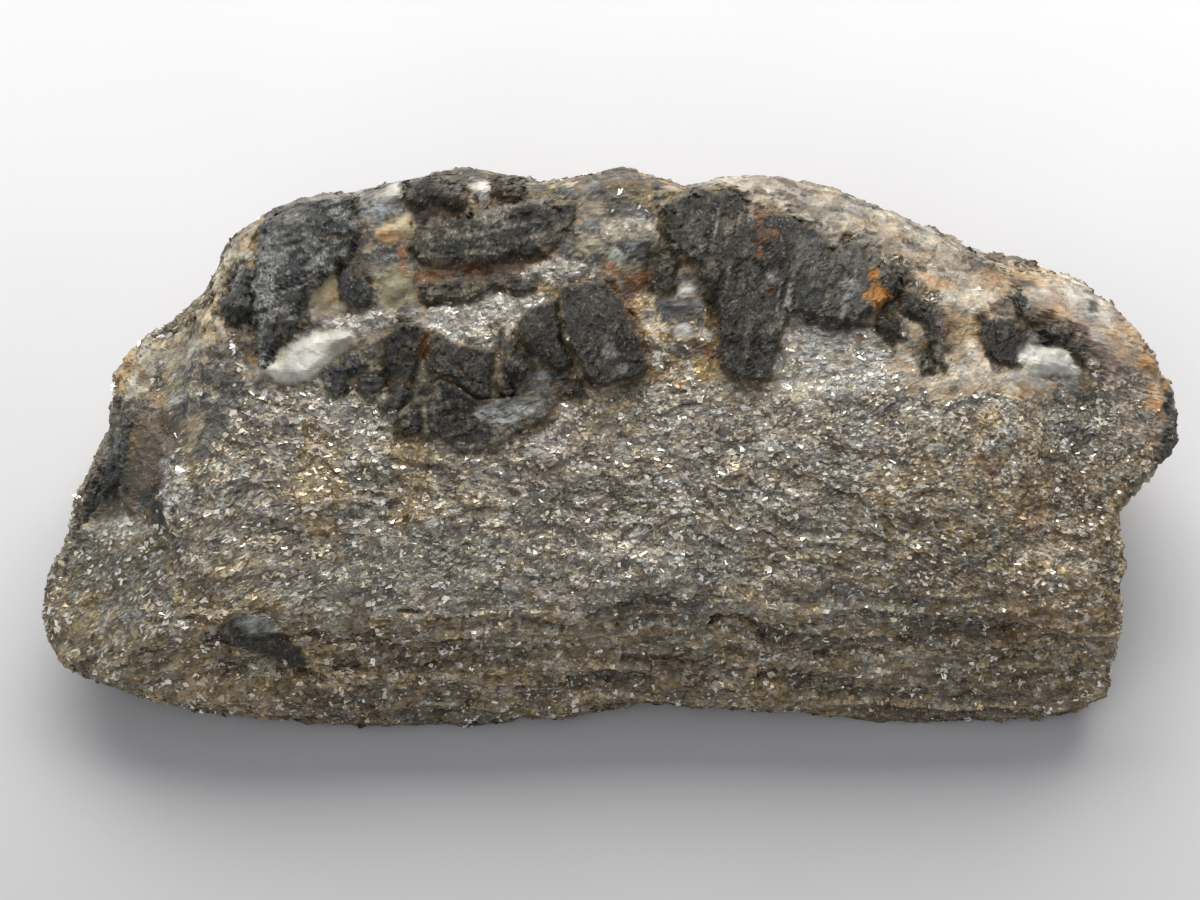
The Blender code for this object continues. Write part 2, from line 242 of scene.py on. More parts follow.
MIXES = {
    "glitter rock": Mix((1.1, 0.65, 0.5), 0, 501, (
        ("glitter", 0.42), ("grey", 0.2), ("haze", 0.18), ("brown", 0.1), ("silver", 0.05), ("deep", 0.05))),
    "brown rock": Mix((1.3, 0.7, 0.45), 4, 521, (
        ("brown", 0.44), ("deep", 0.18), ("ochre", 0.12), ("glitter", 0.16), ("grey", 0.1))),
    "vein rock": Mix((1.6, 0.9, 1.0), 15, 541, (
        ("smoke", 0.32), ("dark", 0.18), ("umber", 0.2), ("olive", 0.07), ("tan", 0.07), ("cream", 0.06),
        ("blue", 0.06), ("amber", 0.04))),
    "dark rock": Mix((1.5, 0.8, 2.5), 10, 551, (
        ("smoke", 0.34), ("dark", 0.34), ("umber", 0.14), ("olive", 0.06), ("blue", 0.06), ("tan", 0.06))),
    "corner rock": Mix((1.7, 1.6, 2.4), 0, 557, (
        ("tan", 0.25), ("cream", 0.22), ("pale", 0.18), ("gold", 0.15), ("amber", 0.06), ("umber", 0.14))),
    "bench rock": Mix((1.4, 1.3, 2.0), 0, 559, (
        ("haze", 0.18), ("smoke", 0.27), ("olive", 0.15), ("tan", 0.12), ("grey", 0.12), ("dark", 0.16))),
    "left rock": Mix((1.6, 1.5, 2.4), 0, 553, (
        ("plum", 0.45), ("smoke", 0.2), ("umber", 0.2), ("dark", 0.15))),
    "amber rock": Mix((1.5, 0.9, 1.0), -35, 556, (
        ("gold", 0.25), ("cream", 0.2), ("rust", 0.17), ("umber", 0.14), ("silver", 0.14), ("smoke", 0.1))),
    "feldspar rock": Mix((2.6, 1.1, 3.0), -27, 561, (
        ("tan", 0.19), ("pale", 0.18), ("cream", 0.2), ("pink", 0.12), ("peach", 0.12), ("amber", 0.06),
        ("vein brown", 0.09), ("blue", 0.04))),
    "quartz rock": Mix((3.2, 0.9, 1.2), -21, 581, (
        ("pale", 0.38), ("cream", 0.1), ("blue", 0.07), ("tan", 0.14), ("vein brown", 0.22), ("smoke", 0.09))),
    "seam rock": Mix((2.2, 0.7, 1.0), -27, 591, (
        ("vein brown", 0.5), ("smoke", 0.2), ("rust", 0.08), ("plum", 0.22))),
}

CRYSTALS = (
    Crystal("left mass", 2.6, (0.1, 0.02), 17,
        "-370 194 4 29 7 21 12 13 22 6 31 7 24 -3 10 -10 -1 -34 -9 -16 -8 -13 -11 -14 -13 -16 -11 -16 -9 -21 "
        "-19 -21 -20 -29 -5 34 -6 43", wear=1.35, look=Look.LINED),
    Crystal("left lobe", 1.4, (0.1, 0), 70,
        "-387 186 12 3 7 -11 -1 -17 -1 -23 -14 -6 -16 3 -9 5 1 11 8 6 4 15", wear=0.7, look=Look.LINED),
    Crystal("top bar", 1.7, (0, 0.08), 0,
        "-216 260 2 8 8 11 18 4 14 0 13 -8 8 0 8 -8 5 -13 -3 -5 -21 1 -27 1 -26 2"),
    Crystal("top bar end", 1.5, (0, 0.05), 0, "-121 267 8 6 18 4 6 -9 -5 -8 -27 -1"),
    Crystal("long bar", 1.3, (0, -0.05), 12,
        "-204 230 27 8 21 7 43 8 42 8 34 -4 6 -21 -8 -22 -24 -13 -35 -7 -47 -5 -48 0 -11 16",
        wear=1.4, look=Look.LINED),
    Crystal("small wedge", 1.1, (0, 0), 60,
        "-280 188 11 -1 9 -9 16 -12 0 -14 -7 -6 -11 -5 -7 2 -7 8 -5 13 0 14", look=Look.CRISP),
    Crystal("thin bar", 1.0, (0, 0.05), 5,
        "-200 169 12 4 53 2 11 5 14 4 16 -2 4 -7 16 -8 0 -5 -11 -3 -18 2 -14 4 -15 -7 -13 -10 -32 6 -9 -6 "
        "-12 9", look=Look.CRISP),
    Crystal("chip m", 1.0, (0, 0.05), 30,
        "-297 72 9 13 12 5 7 9 10 0 6 -7 4 -9 -10 -7 -13 -7 -7 -14 -7 -2 -8 7", look=Look.CRISP),
    Crystal("chip n", 1.0, (0, 0.05), 20, "-259 71 26 -1 1 -10 -14 -10 -8 3 -6 8", look=Look.CRISP),
    Crystal("fluted column", 1.5, (0, 0.06), 80,
        "-233 99 1 15 9 6 6 9 13 -2 6 2 7 -4 5 -8 -9 -11 -3 -13 -3 -13 -5 -11 2 -19 -15 -13 -14 -3 -5 6 11 15 "
        "-1 19 -5 16", look=Look.CRISP),
    Crystal("broken block", 1.5, (0.05, 0.06), 65,
        "-190 93 8 18 5 6 8 0 6 -8 21 -5 25 -6 -2 -11 -2 -18 0 -19 -14 0 -21 16 -13 6 -19 2",
        wear=0.75, look=Look.CRISP),
    Crystal("lower slab", 1.3, (0, 0.18), 10,
        "-219 34 12 11 21 5 7 19 23 -5 21 -16 22 2 31 0 32 -2 -13 -22 -29 -12 -21 -14 -27 -7 -21 5 -21 15 "
        "-34 -6", wear=1.4, look=Look.CRISP),
    Crystal("slab ear", 1.2, (0, 0.1), 40, "-113 95 23 -1 16 -11 -8 -11 -13 -3 -8 -19 -10 0"),
    Crystal("split crystal", 2.2, (0, 0.05), 60,
        "-94 132 16 13 24 9 3 -16 2 -27 10 -21 3 -10 -17 -4 -18 14 -14 14 -9 13", wear=0.55, look=Look.CRISP),
    Crystal("big crystal", 3.4, (0.03, 0.05), 62,
        "-52 154 6 12 17 5 27 0 13 -15 10 -15 9 -19 6 -18 7 -21 -6 -10 -23 -8 -24 -5 -15 16 -12 22 -10 15",
        wear=0.5, look=Look.CRISP),
    Crystal("crystal foot", 1.2, (0, 0.1), 30, "-48 69 25 -3 2 -13 -18 -3 -11 -4"),
    Crystal("small dome", 1.0, (0, 0), 20,
        "49 196 7 3 11 2 7 -5 -4 -18 2 -11 -8 -8 -15 2 -7 3 4 14", look=Look.CRISP),
    Crystal("great mass", 2.0, (0.02, -0.04), 80,
        "54 252 23 8 11 5 11 4 28 0 17 -7 18 -4 21 -14 13 -3 16 -8 8 -10 16 -17 16 11 27 -3 -2 -20 14 -6 14 5 "
        "11 -13 -5 -18 -16 -8 -25 -19 -16 -8 -23 3 -8 8 -18 -1 -19 2 -11 -17 -61 21 -10 21 -16 30 -19 13 "
        "-11 21", wear=0.9, look=Look.LINED),
    Crystal("fluted leg", 2.3, (0, -0.08), 85,
        "112 164 2 -23 3 -30 2 -21 4 -14 18 -6 23 -4 7 1 2 20 7 21 8 29 -5 25", wear=0.75, look=Look.CRISP),
    Crystal("right chip", 1.2, (0, 0), 0, "279 130 10 5 19 -5 -2 -13 10 -6 -16 -5 -16 11"),
    Crystal("right shard", 1.1, (0, 0), 70, "305 162 18 2 13 -16 11 -7 8 -24 3 -40 -7 0 -9 29 -12 21 -19 14"),
    Crystal("right spot", 0.9, (0, 0), 0, "326 93 12 2 3 -15 -11 -4"),
    Crystal("right bar", 0.7, (-0.05, 0), 80, "390 135 27 -5 19 -5 4 -14 -8 -31 -19 3 -20 7 -3 21"),
    Crystal("right splinter", 1.0, (0, 0), 60, "414 161 24 0 5 -10 9 -22 -9 -2 -13 14 -6 11"),
    Crystal("right edge bar", 1.1, (0, 0), 10, "453 120 11 7 11 4 12 -2 9 -15 -1 -4 -17 0 -13 1"),
    Crystal("right thread", 0.8, (0, 0), 40, "480 106 7 1 19 -16 12 -16 -5 -3 -16 16"),
    Crystal("end lump", 0.8, (0, 0), 0, "578 -1 8 6 12 -1 -1 -16 -16 -2"),
    Crystal("front lump", 2.0, (0, 0.02), 35,
        "-402 -193 6 12 13 8 17 1 17 -7 10 -11 4 -11 10 -8 9 -10 -2 -14 -12 -3 -8 9 -16 5 -18 6 -17 5 -11 6",
        wear=0.55, look=Look.CRISP),
    Crystal("left band", 0.9, (0, 0), 55,
        "-532 -26 12 31 12 21 7 -4 -5 -33 -2 -37 -21 -6 -11 -10 -8 -16 -8 -2 4 24"),
    Crystal("chip a", 0.8, (0, 0), 0, "-357 111 19 0 -11 -18 -6 5"),
    Crystal("chip b", 0.8, (0, 0), 0, "-119 120 9 5 0 -26 -9 5"),
)

LUMPS = (
    Lump("left eye", 1.6,
        "-365 71 1 16 10 5 15 9 8 7 13 3 14 9 21 2 19 -3 4 -10 -10 -8 -13 -11 -7 -8 -12 -11 -18 -5 -19 0",
        colour=(0.6, 0.58, 0.52)),
    Lump("right eye", 1.4,
        "436 88 10 15 14 3 18 -1 11 -13 10 -14 -17 -4 -23 1 -20 2", colour=(0.54, 0.53, 0.49)),
    Lump("top grain", 1.7, "-148 273 13 6 11 -3 3 -8 -3 -15 -11 -3 -5 10"),
    Lump("top left grain", 1.2, "-237 260 4 13 11 6 6 -9 0 -10 -11 -7"),
    Lump("tan lens", 0.9,
        "-241 228 8 8 16 5 8 2 7 -7 1 -10 -6 -9 -12 -4 -14 1 -11 3", colour=(0.38, 0.31, 0.19)),
    Lump("olive grain", 0.9, "-32 211 9 6 13 0 5 -7 -6 -6 -14 0", colour=(0.32, 0.31, 0.2)),
    Lump("green grain", 1.0, "-2 194 3 13 10 3 6 -9 -3 -12 -11 -1", colour=(0.36, 0.4, 0.34)),
    Lump("slab patch", 1.1, "-117 37 9 9 18 -1 5 -13 -9 -12 -16 0", colour=(0.2, 0.23, 0.25)),
    Lump("lump blue top", 1.3, "-378 -188 12 6 14 -5 8 -9 -4 -11 -11 0 -14 6", colour=(0.16, 0.17, 0.18)),
    Lump("amber grain", 0.8, "-308 154 6 23 14 9 10 -11 -2 -21 -10 -16 -14 -3", colour=(0.34, 0.3, 0.2)),
    Lump("olive block", 0.8, "-238 154 4 19 15 8 14 -6 0 -19 -14 -11 -13 0", colour=(0.2, 0.18, 0.11)),
    Lump("white grain", 0.8, "68 113 4 13 13 3 3 -9 -6 -9"),
    Lump("pale grain", 0.8, "73 158 4 13 13 0 5 -9 -7 -6"),
    Lump("mid grain", 0.9, "53 152 12 4 23 -4 2 -12 -18 -4 -16 3", colour=(0.08, 0.08, 0.085)),
    Lump("cross grain", 0.7, "308 126 9 5 13 -4 2 -10 -13 -5", colour=(0.42, 0.34, 0.24)),
)

PATCHES = (
    Patch("feldspar rock", 0.95, 2.0,
        "258 226 53 18 63 -32 74 -18 59 -14 47 -33 37 -46 8 -43 2 -37 -13 -5 -12 48 -43 13 -32 24 -31 -37 "
        "-53 -11 -53 -5 -53 10 -34 32 39 21 37 43 -42 40"),
    Patch("seam rock", 0.9, 0.8, "279 194 32 -14 31 -26 22 -32 -9 -9 -29 28 -26 21 -23 13"),
    Patch("seam rock", 0.85, 0.7, "289 236 53 -17 59 -25 58 -21 -5 -9 -64 17 -58 26 -45 19"),
    Patch("seam rock", 0.8, 0.7, "401 154 58 -9 37 -15 27 -24 21 -29 -13 -6 -24 28 -37 21 -69 21"),
    Patch("pink", 0.35, 1.5, "507 164 47 -21 34 -53 7 -85 -51 11 -32 85"),
    Patch("peach", 0.65, 0.9, "319 181 45 -4 2 -15 -45 2"),
    Patch("peach", 0.6, 0.9, "391 183 34 -2 0 -17 -32 2"),
    Patch("peach", 0.5, 0.9, "463 149 26 0 2 -14 -26 0"),
    Patch("gold", 0.5, 1.5, "401 205 86 -7 4 -21 -74 2"),
    Patch("milk", 0.85, 1.2, "478 181 40 -4 17 -23 -4 -24 -34 2 -15 22"),
    Patch("smoke", 0.8, 0.4, "510 154 10 -2 0 -11 -10 0"),
    Patch("smoke", 0.6, 0.4, "516 164 9 -1 0 -7 -8 0"),
    Patch("peach", 0.45, 1.6, "520 126 56 -2 8 -61 -49 21"),
    Patch("milk", 0.7, 1.0, "369 226 32 -9 -6 -15 -29 7"),
    Patch("seam rock", 0.9, 0.5, "404 211 59 -11 0 -10 -59 8"),
    Patch("amber", 0.5, 1.2, "351 141 38 -6 0 -24 -32 -2"),
    Patch("quartz rock", 0.95, 1.2,
        "99 281 47 6 59 4 63 -21 48 -21 58 -34 43 -21 -64 -6 -74 26 -53 16 -53 27 -46 13"),
    Patch("corner rock", 0.9, 1.0, "-408 196 15 26 21 27 15 11 -9 -37 -4 -29 -16 -6 -12 -16 -10 -18"),
    Patch("corner rock", 1, 0.8, "-527 50 4 24 9 27 26 11 19 4 -3 -26 -12 -26 -22 -14"),
    Patch("amber", 0.8, 0.8, "-525 56 5 21 10 22 11 0 -5 -25 -8 -20"),
    Patch("corner rock", 0.8, 1.5, "-474 106 43 37 26 21 7 -42 7 -45 -25 -29 -26 0 -27 26"),
    Patch("bench rock", 1, 1.0,
        "-463 56 8 24 29 21 24 12 15 -12 11 -30 -2 -28 -15 -25 -15 -25 -17 -7 -17 28 -15 21"),
    Patch("tan", 0.7, 0.8, "-439 33 20 0 0 -26 -9 -14 -11 12"),
    Patch("amber", 0.7, 0.8, "-480 56 19 2 2 -23 -17 -4"),
    Patch("left rock", 1, 0.8, "-525 42 60 0 19 -26 -11 -42 -17 -38 -34 -16 -40 -10 -15 5 9 32 17 48"),
    Patch("umber", 0.5, 1.2, "-522 37 57 2 8 -34 -12 -37 -26 -37 -23 16 0 48"),
    Patch("dark rock", 0.85, 0.8, "-533 -26 10 40 17 28 11 -3 -4 -44 -7 -45 -27 -14 -21 -18 -5 18"),
    Patch("dark rock", 1, 0.8, "-431 -5 15 31 8 32 10 27 11 -8 -6 -29 -15 -32 -15 -28"),
    Patch("dark", 1, 0.4, "-457 46 17 0 0 -24 -15 -2"),
    Patch("dark", 1, 0.4, "-425 84 14 -1 -1 -15 -12 1"),
    Patch("dark", 1, 0.3, "-404 69 11 -1 -1 -10 -9 0"),
    Patch("dark", 1, 0.4, "-426 57 15 -2 -2 -15 -12 1"),
    Patch("dark", 0.9, 0.6, "-524 52 32 -2 8 -7 -22 -5 -18 2"),
    Patch("silver", 0.8, 1.0, "-465 -18 29 0 5 -30 -11 -37 -19 5 -9 32"),
    Patch("grey", 0.8, 1.2, "-554 -84 67 15 3 -21 -32 -16 -43 0"),
    Patch("dark", 1, 0.5, "-457 -13 13 0 -2 -10 -11 1"),
    Patch("dark", 1, 0.5, "-479 -60 16 2 -2 -27 -13 3"),
    Patch("dark rock", 1, 0.8,
        "-278 265 19 5 40 9 5 -26 48 -4 74 4 85 7 58 10 7 -26 -7 -43 -16 -7 -42 0 -16 18 -27 -18 -63 -14 "
        "-64 -10 -42 -16 -18 -11 -33 -8 -13 -13 -23 0 7 32 16 32 13 21 10 19"),
    Patch("dark rock", 0.8, 0.8, "-225 53 27 5 10 32 75 11 42 -16 21 -32 -21 -32 -64 -26 -74 15"),
    Patch("blue", 0.8, 0.8, "-272 264 17 2 0 -19 -15 -2"),
    Patch("gold", 0.6, 0.7, "-7 281 53 -6 5 -15 -16 -5 -37 9"),
    Patch("cream", 0.7, 0.6, "-29 219 22 3 3 -17 -19 -3"),
    Patch("amber rock", 0.95, 1.4, "24 158 27 2 48 -2 15 -47 -3 -46 -65 2 -13 39"),
    Patch("dark rock", 0.7, 0.8, "51 154 48 0 0 -22 -43 -2"),
    Patch("dark rock", 0.9, 0.8, "273 194 43 -6 21 -34 -26 -24 -34 5"),
    Patch("dark rock", 0.8, 0.8, "311 111 31 11 16 -45 -32 -4"),
    Patch("dark rock", 0.7, 1.0, "390 141 58 -11 11 -24 -21 -29 -37 3"),
    Patch("dark rock", 0.75, 0.9, "454 127 45 -10 21 -40 -13 -12 -37 -1 -22 10"),
    Patch("gold", 0.9, 0.8, "88 92 32 -2 3 -23 -33 0"),
    Patch("gold", 0.7, 0.8, "-76 175 29 1 -3 -20 -23 1"),
    Patch("rose", 1, 0.7, "-80 10 17 6 26 -11 -6 -12 -23 -5 -16 9"),
    Patch("gold", 0.55, 1.6, "-228 18 30 4 10 -48 -6 -54 -21 -6 -9 60"),
    Patch("gold", 0.4, 2.0, "-325 16 42 6 13 -80 -24 -64 -31 42"),
    Patch("silver", 0.6, 1.4, "-325 58 106 -10 10 -32 -85 0"),
    Patch("silver", 1, 0.8,
        "-184 147 39 2 15 9 17 3 31 -3 19 -4 -15 -11 -14 -13 -9 -19 -12 -12 -22 4 -26 6 -11 9 -9 4 -9 10"),
    Patch("silver", 0.9, 0.7, "-108 190 26 -2 32 6 35 -6 8 -13 -27 -3 -16 -8 -21 9 -30 3"),
    Patch("silver", 0.85, 0.7, "-325 113 31 13 32 13 43 2 31 0 -2 -13 -29 4 -16 -19 -27 5 -32 2"),
    Patch("silver", 1, 1.0, "187 140 18 -4 18 2 11 -8 20 -5 23 -8 18 -11 5 -32 -27 -26 -68 -2 -32 4 0 21 6 35"),
    Patch("cream", 0.8, 0.8, "-7 236 31 2 32 -4 0 -17 -32 -4 -29 4"),
    Patch("tan", 0.8, 0.8, "-68 260 29 2 32 -7 0 -19 -24 -2 -6 20 -29 -9"),
    Patch("blue", 0.4, 0.8, "-259 278 24 2 18 1 2 -27 -20 -18 -25 2"),
    Patch("smoke", 0.7, 0.7, "-174 291 39 -2 43 -10 26 -9 -26 -6 -21 15 -32 2 -27 2"),
    Patch("umber", 0.7, 0.7, "-214 253 51 -2 28 2 43 4 0 -10 -43 -2 -31 0 -46 1"),
    Patch("rust", 0.8, 0.3, "-171 183 36 7 4 -7 -38 -7"),
    Patch("rust", 0.7, 0.3, "-205 176 28 6 1 -6 -26 -5"),
    Patch("rust", 0.9, 0.6, "-217 205 9 0 0 -28 -9 0"),
    Patch("rust", 0.8, 0.6, "-7 193 18 1 1 -17 -17 -1"),
    Patch("rust", 0.8, 0.7, "16 183 27 0 3 -23 -28 -2"),
    Patch("rust", 0.9, 0.5, "-1 175 7 0 16 -21 13 -22 4 -19 -8 7 -15 25"),
    Patch("rust", 0.8, 0.5, "-198 113 15 0 -1 -21 -14 0"),
    Patch("rust", 0.9, 0.3, "166 166 13 0 -1 -9 -11 -1"),
    Patch("rust", 0.8, 0.3, "145 253 15 1 6 -9 -4 -13 -8 4"),
    Patch("rust", 0.8, 0.25, "155 238 7 3 2 -24 -2 -23 -5 4 1 21"),
    Patch("rust", 0.6, 0.3, "164 228 15 0 0 -11 -14 1"),
    Patch("dusty", 0.35, 2.0, "205 223 72 -6 12 -53 -31 -32 -53 5 -11 49"),
    Patch("dusty", 0.5, 1.5, "-352 254 27 6 10 -27 -26 -39 -18 -8"),
    Patch("spot", 0.8, 0.5, "245 175 15 2 4 -15 -15 -4"),
    Patch("spot", 0.7, 0.4, "167 180 12 3 2 -12 -10 -2"),
    Patch("spot", 0.8, 0.4, "-7 101 12 4 5 -11 -11 -6"),
    Patch("spot", 0.6, 0.3, "12 82 8 2 1 -8 -8 -2"),
    Patch("spot", 0.8, 0.8, "-137 35 24 11 31 2 19 -5 -19 -12 -26 -9 -24 2"),
    # Painted highlights on the top of the front lump.
    Patch("spot", 0.62, 0.6, "-385 -180 19 7 17 -9 7 -11 -17 -6 -19 4 -9 7"),
    Patch("spot", 0.6, 0.3, "-374 -176 8 1 5 -6 -9 -3"),
    Patch("dark rock", 0.7, 0.7, "478 75 21 5 18 -13 -3 -19 -23 2 -13 10"),
    Patch("seam", 0.9, 0.3, "-53 151 4 0 6 -29 7 -23 12 -26 -5 -4 -12 25 -9 26"),
    Patch("seam", 0.8, 0.25, "-187 166 4 0 1 -18 -4 0"),
    Patch("seam", 0.7, 0.25, "-152 169 4 0 1 -18 -4 0"),
    Patch("seam", 0.8, 0.35, "-118 101 7 0 1 -37 -7 -14 -3 8"),
    Patch("seam", 0.7, 0.4, "-198 88 10 6 -2 -25 -10 -21 -2 8"),
    Patch("seam", 0.7, 0.3, "-192 46 5 0 1 -36 -5 0"),
    Patch("rust", 0.5, 1.0, "-204 183 27 7 45 4 40 4 42 -4 -42 -6 -43 -7 -42 -10 -27 -2"),
    Patch("orange", 0.5, 0.5, "-241 226 19 2 9 -11 -9 -5 -16 2"),
    Patch("orange", 0.35, 0.6, "-304 164 16 7 9 -13 -15 -11"),
    Patch("orange", 1, 0.25, "277 183 8 1 2 -20 -1 -19 -6 -3 -3 20"),
    Patch("orange", 1, 0.25, "264 160 12 4 20 -1 4 -6 -11 -8 -13 3 -11 1"),
    Patch("rust", 0.7, 0.4, "255 117 13 1 1 -10 -12 -2"),
    Patch("orange", 0.6, 0.8, "568 67 18 0 0 -30 -17 1"),
    Patch("orange", 0.6, 0.8, "560 95 16 -1 -1 -14 -14 0"),
    Patch("amber", 0.8, 0.4, "-278 251 11 0 1 -11 -11 0"),
    Patch("rust", 0.32, 2.5, "411 -154 69 6 21 -38 -42 -31 -42 21"),
    Patch("rust", 0.5, 1.2, "385 -5 21 -2 0 -19 -19 2"),
    Patch("rust", 0.2, 3.0, "401 -37 95 11 27 -54 -43 -42 -63 21"),
    Patch("cream", 0.6, 0.7, "-312 130 1 40 21 19 13 -8 1 -49 -18 -2"),
    Patch("olive", 0.7, 0.9, "-241 143 0 34 19 9 20 -8 0 -33 -20 -4"),
    Patch("cream", 0.6, 0.6, "-177 238 24 -2 -1 -17 -22 1"),
    Patch("cream", 0.6, 0.6, "-129 240 16 -2 0 -12 -15 0"),
    Patch("cream", 0.7, 0.5, "-85 245 19 0 0 -10 -18 0"),
    Patch("pale", 0.2, 1.5, "99 283 63 6 85 -10 42 -19 -42 -16 -64 16 -53 12"),
    Patch("olive", 0.4, 0.8, "357 145 15 2 17 -25 -2 -38 -23 -2 -7 29"),
    Patch("cream", 0.6, 1.0, "88 283 48 6 26 -8 -8 -13 -34 2 -24 0"),
    Patch("dark", 0.95, 0.5, "584 73 21 -4 2 -87 -34 -6 13 29 3 32 -7 15"),
    Patch("cream", 0.8, 0.6, "376 111 15 -2 0 -17 -14 0"),
    # Pale quartz at the left of the right eye, lightened further by a painted highlight.
    Patch("white", 0.85, 0.6, "431 103 17 2 5 -17 -19 -4"),
    Patch("cream", 0.9, 0.5, "434 80 10 -3 -2 -10 -8 2"),
    Patch("cream", 0.7, 0.6, "220 107 38 -17 -3 -17 -35 21"),
    Patch("dark", 0.6, 1.0, "-50 270 21 7 64 2 16 -9 -16 -10 -42 0 -41 0"),
    Patch("dark", 0.6, 0.8, "51 154 40 0 0 -19 -35 0"),
    Patch("dark", 0.5, 0.8, "568 26 10 0 0 -13 -10 1"),
    Patch("smoke", 0.55, 1.2, "-408 75 25 -4 -6 -25 -15 -24 -13 -29 -10 4 13 38"),
)


# ---------------- repeatable noise on arrays of points


class Grain:
    """Noise that is the same on every run, worked out for whole arrays of points."""

    NEAR = [(i, j, k) for i in (-1, 0, 1) for j in (-1, 0, 1) for k in (-1, 0, 1)]
    CORNERS = [(i, j, k) for i in (0, 1) for j in (0, 1) for k in (0, 1)]
    STRIDES = (73856093, 19349663, 83492791)
    SALT_STRIDE = 2654435761
    STIR = 0x45D9F3B
    TOP = 0xFFFFFFFF
    FINER = 2.03  # how much finer each layer of noise is than the one before
    SHIFTED = 17.3  # and how far it is moved, so that the layers don't line up
    FAR = 9.0

    @classmethod
    def scatter(cls, cells: Array, salt: int = 0) -> Array:
        """A number from 0 to 1 for each whole-number cell."""
        ints = cells.astype(np.int64)
        code = (ints[..., 0] * cls.STRIDES[0]) ^ (ints[..., 1] * cls.STRIDES[1]) ^ (ints[..., 2] * cls.STRIDES[2])
        code = (code ^ (salt * cls.SALT_STRIDE)) & cls.TOP
        for _ in range(2):
            code = (((code >> 16) ^ code) * cls.STIR) & cls.TOP
        return ((code >> 16) ^ code) / cls.TOP

    @classmethod
    def smooth(cls, points: Array, salt: int = 0) -> Array:
        """Soft lumps from -1 to 1, one unit across."""
        base = np.floor(points)
        part = points - base
        part = part * part * (3 - 2 * part)
        total = np.zeros(len(points))
        for corner in cls.CORNERS:
            pick = np.array(corner)
            weight = np.prod(np.where(pick, part, 1 - part), axis=1)
            total += weight * cls.scatter(base + pick, salt)
        return 2 * total - 1

    @classmethod
    def layered(cls, points: Array, turns: int, salt: int = 0, falloff: float = 0.5) -> Array:
        """Smooth noise summed at finer and finer sizes.

        Args:
            points: Places, divided by the size of the largest lumps.
            turns: How many sizes.
            salt: Tells one noise from another.
            falloff: How much weaker each finer size is.

        Returns:
            A number around 0 for each point.
        """
        total, size, weight = np.zeros(len(points)), 1.0, 1.0
        for turn in range(turns):
            total += weight * cls.smooth(points * size + cls.SHIFTED * turn, salt + turn)
            size *= cls.FINER
            weight *= falloff
        return total

    @classmethod
    def cells(cls, points: Array, salt: int = 0) -> tuple[Array, Array, Array, Array]:
        """Cells around scattered seeds.

        Args:
            points: Places, divided by the size of a cell.
            salt: Tells one set of seeds from another.

        Returns:
            For each point, how far its nearest seed is, how far the next one is, its cell, and its place seen from
            the seed.
        """
        base = np.floor(points)
        first = np.full(len(points), cls.FAR)
        second = np.full(len(points), cls.FAR)
        owner = np.zeros_like(points)
        away = np.zeros_like(points)
        for step in cls.NEAR:
            cell = base + step
            seed = cell + np.stack([cls.scatter(cell, salt + n) for n in (1, 2, 3)], axis=1)
            gap = points - seed
            distance = np.linalg.norm(gap, axis=1)
            nearer = distance < first
            second = np.where(nearer, first, np.minimum(second, distance))
            first = np.where(nearer, distance, first)
            owner[nearer] = cell[nearer]
            away[nearer] = gap[nearer]
        return first, second, owner, away

    @classmethod
    def facets(cls, points: Array, salt: int = 0, tilt: float = 0.6, step: float = 0.4) -> Array:
        """A broken surface of flat chips, each leaning its own way and standing at its own height.

        Args:
            points: Places, divided by the size of a chip.
            salt: Tells one surface from another.
            tilt: How far chips lean.
            step: How far they stand in or out.

        Returns:
            The height at each point.
        """
        _, _, owner, away = cls.cells(points, salt)
        lean = np.stack([cls.scatter(owner, salt + 10 + n) - 0.5 for n in range(3)], axis=1) * 2 * tilt
        return np.sum(lean * away, axis=1) + step * (2 * cls.scatter(owner, salt + 20) - 1)


@dataclass(frozen=True)
class Noise:
    """One soft noise: the size of its lumps in millimetres, its salt, how many sizes it sums and how they fade."""

    size: float | Triple
    salt: int
    turns: int = 1
    fade: float = 0.5

    def at(self, points: Array) -> Array:
        """Its value at each point, around 0."""
        return Grain.layered(points / self.size, self.turns, self.salt, self.fade)


@dataclass(frozen=True)
class Chips:
    """One broken surface: the size of its chips in millimetres, its salt, and how far they lean and step."""

    size: float | Triple
    salt: int
    tilt: float
    step: float

    def at(self, points: Array, number: int = 0) -> Array:
        """Its height at each point. Another number gives other chips."""
        return Grain.facets(points / self.size, self.salt + number, self.tilt, self.step)


@dataclass(frozen=True)
class Cell:
    """One set of cells: their size in millimetres, and their salt."""

    size: float | Triple
    salt: int

    def at(self, points: Array) -> tuple[Array, Array, Array, Array]:
        """The cells around each point, as Grain.cells gives them."""
        return Grain.cells(points / self.size, self.salt)

    def pick(self, owner: Array, which: int) -> Array:
        """A number from 0 to 1 for each cell, and another one for each other choice of which."""
        return Grain.scatter(owner, self.salt + which)


HALO_NOISE = Noise(1.8, 69, 2)  # in the hollow around a crystal


def ramp(value: Array, low: float, high: float) -> Array:
    """0 below low, 1 above high and a smooth rise between."""
    part = np.clip((value - low) / (high - low), 0, 1)
    return part * part * (3 - 2 * part)


def mixed(base: Array, other: Array | Colour, weight: Array) -> Array:
    """The base moved toward other by each weight."""
    return base * (1 - weight) + np.asarray(other) * weight


def turned(u: Array, v: Array, angle: float) -> tuple[Array, Array]:
    """Places along and across a direction in the face plane, from its angle in degrees."""
    turn = math.radians(angle)
    return u * math.cos(turn) + v * math.sin(turn), -u * math.sin(turn) + v * math.cos(turn)


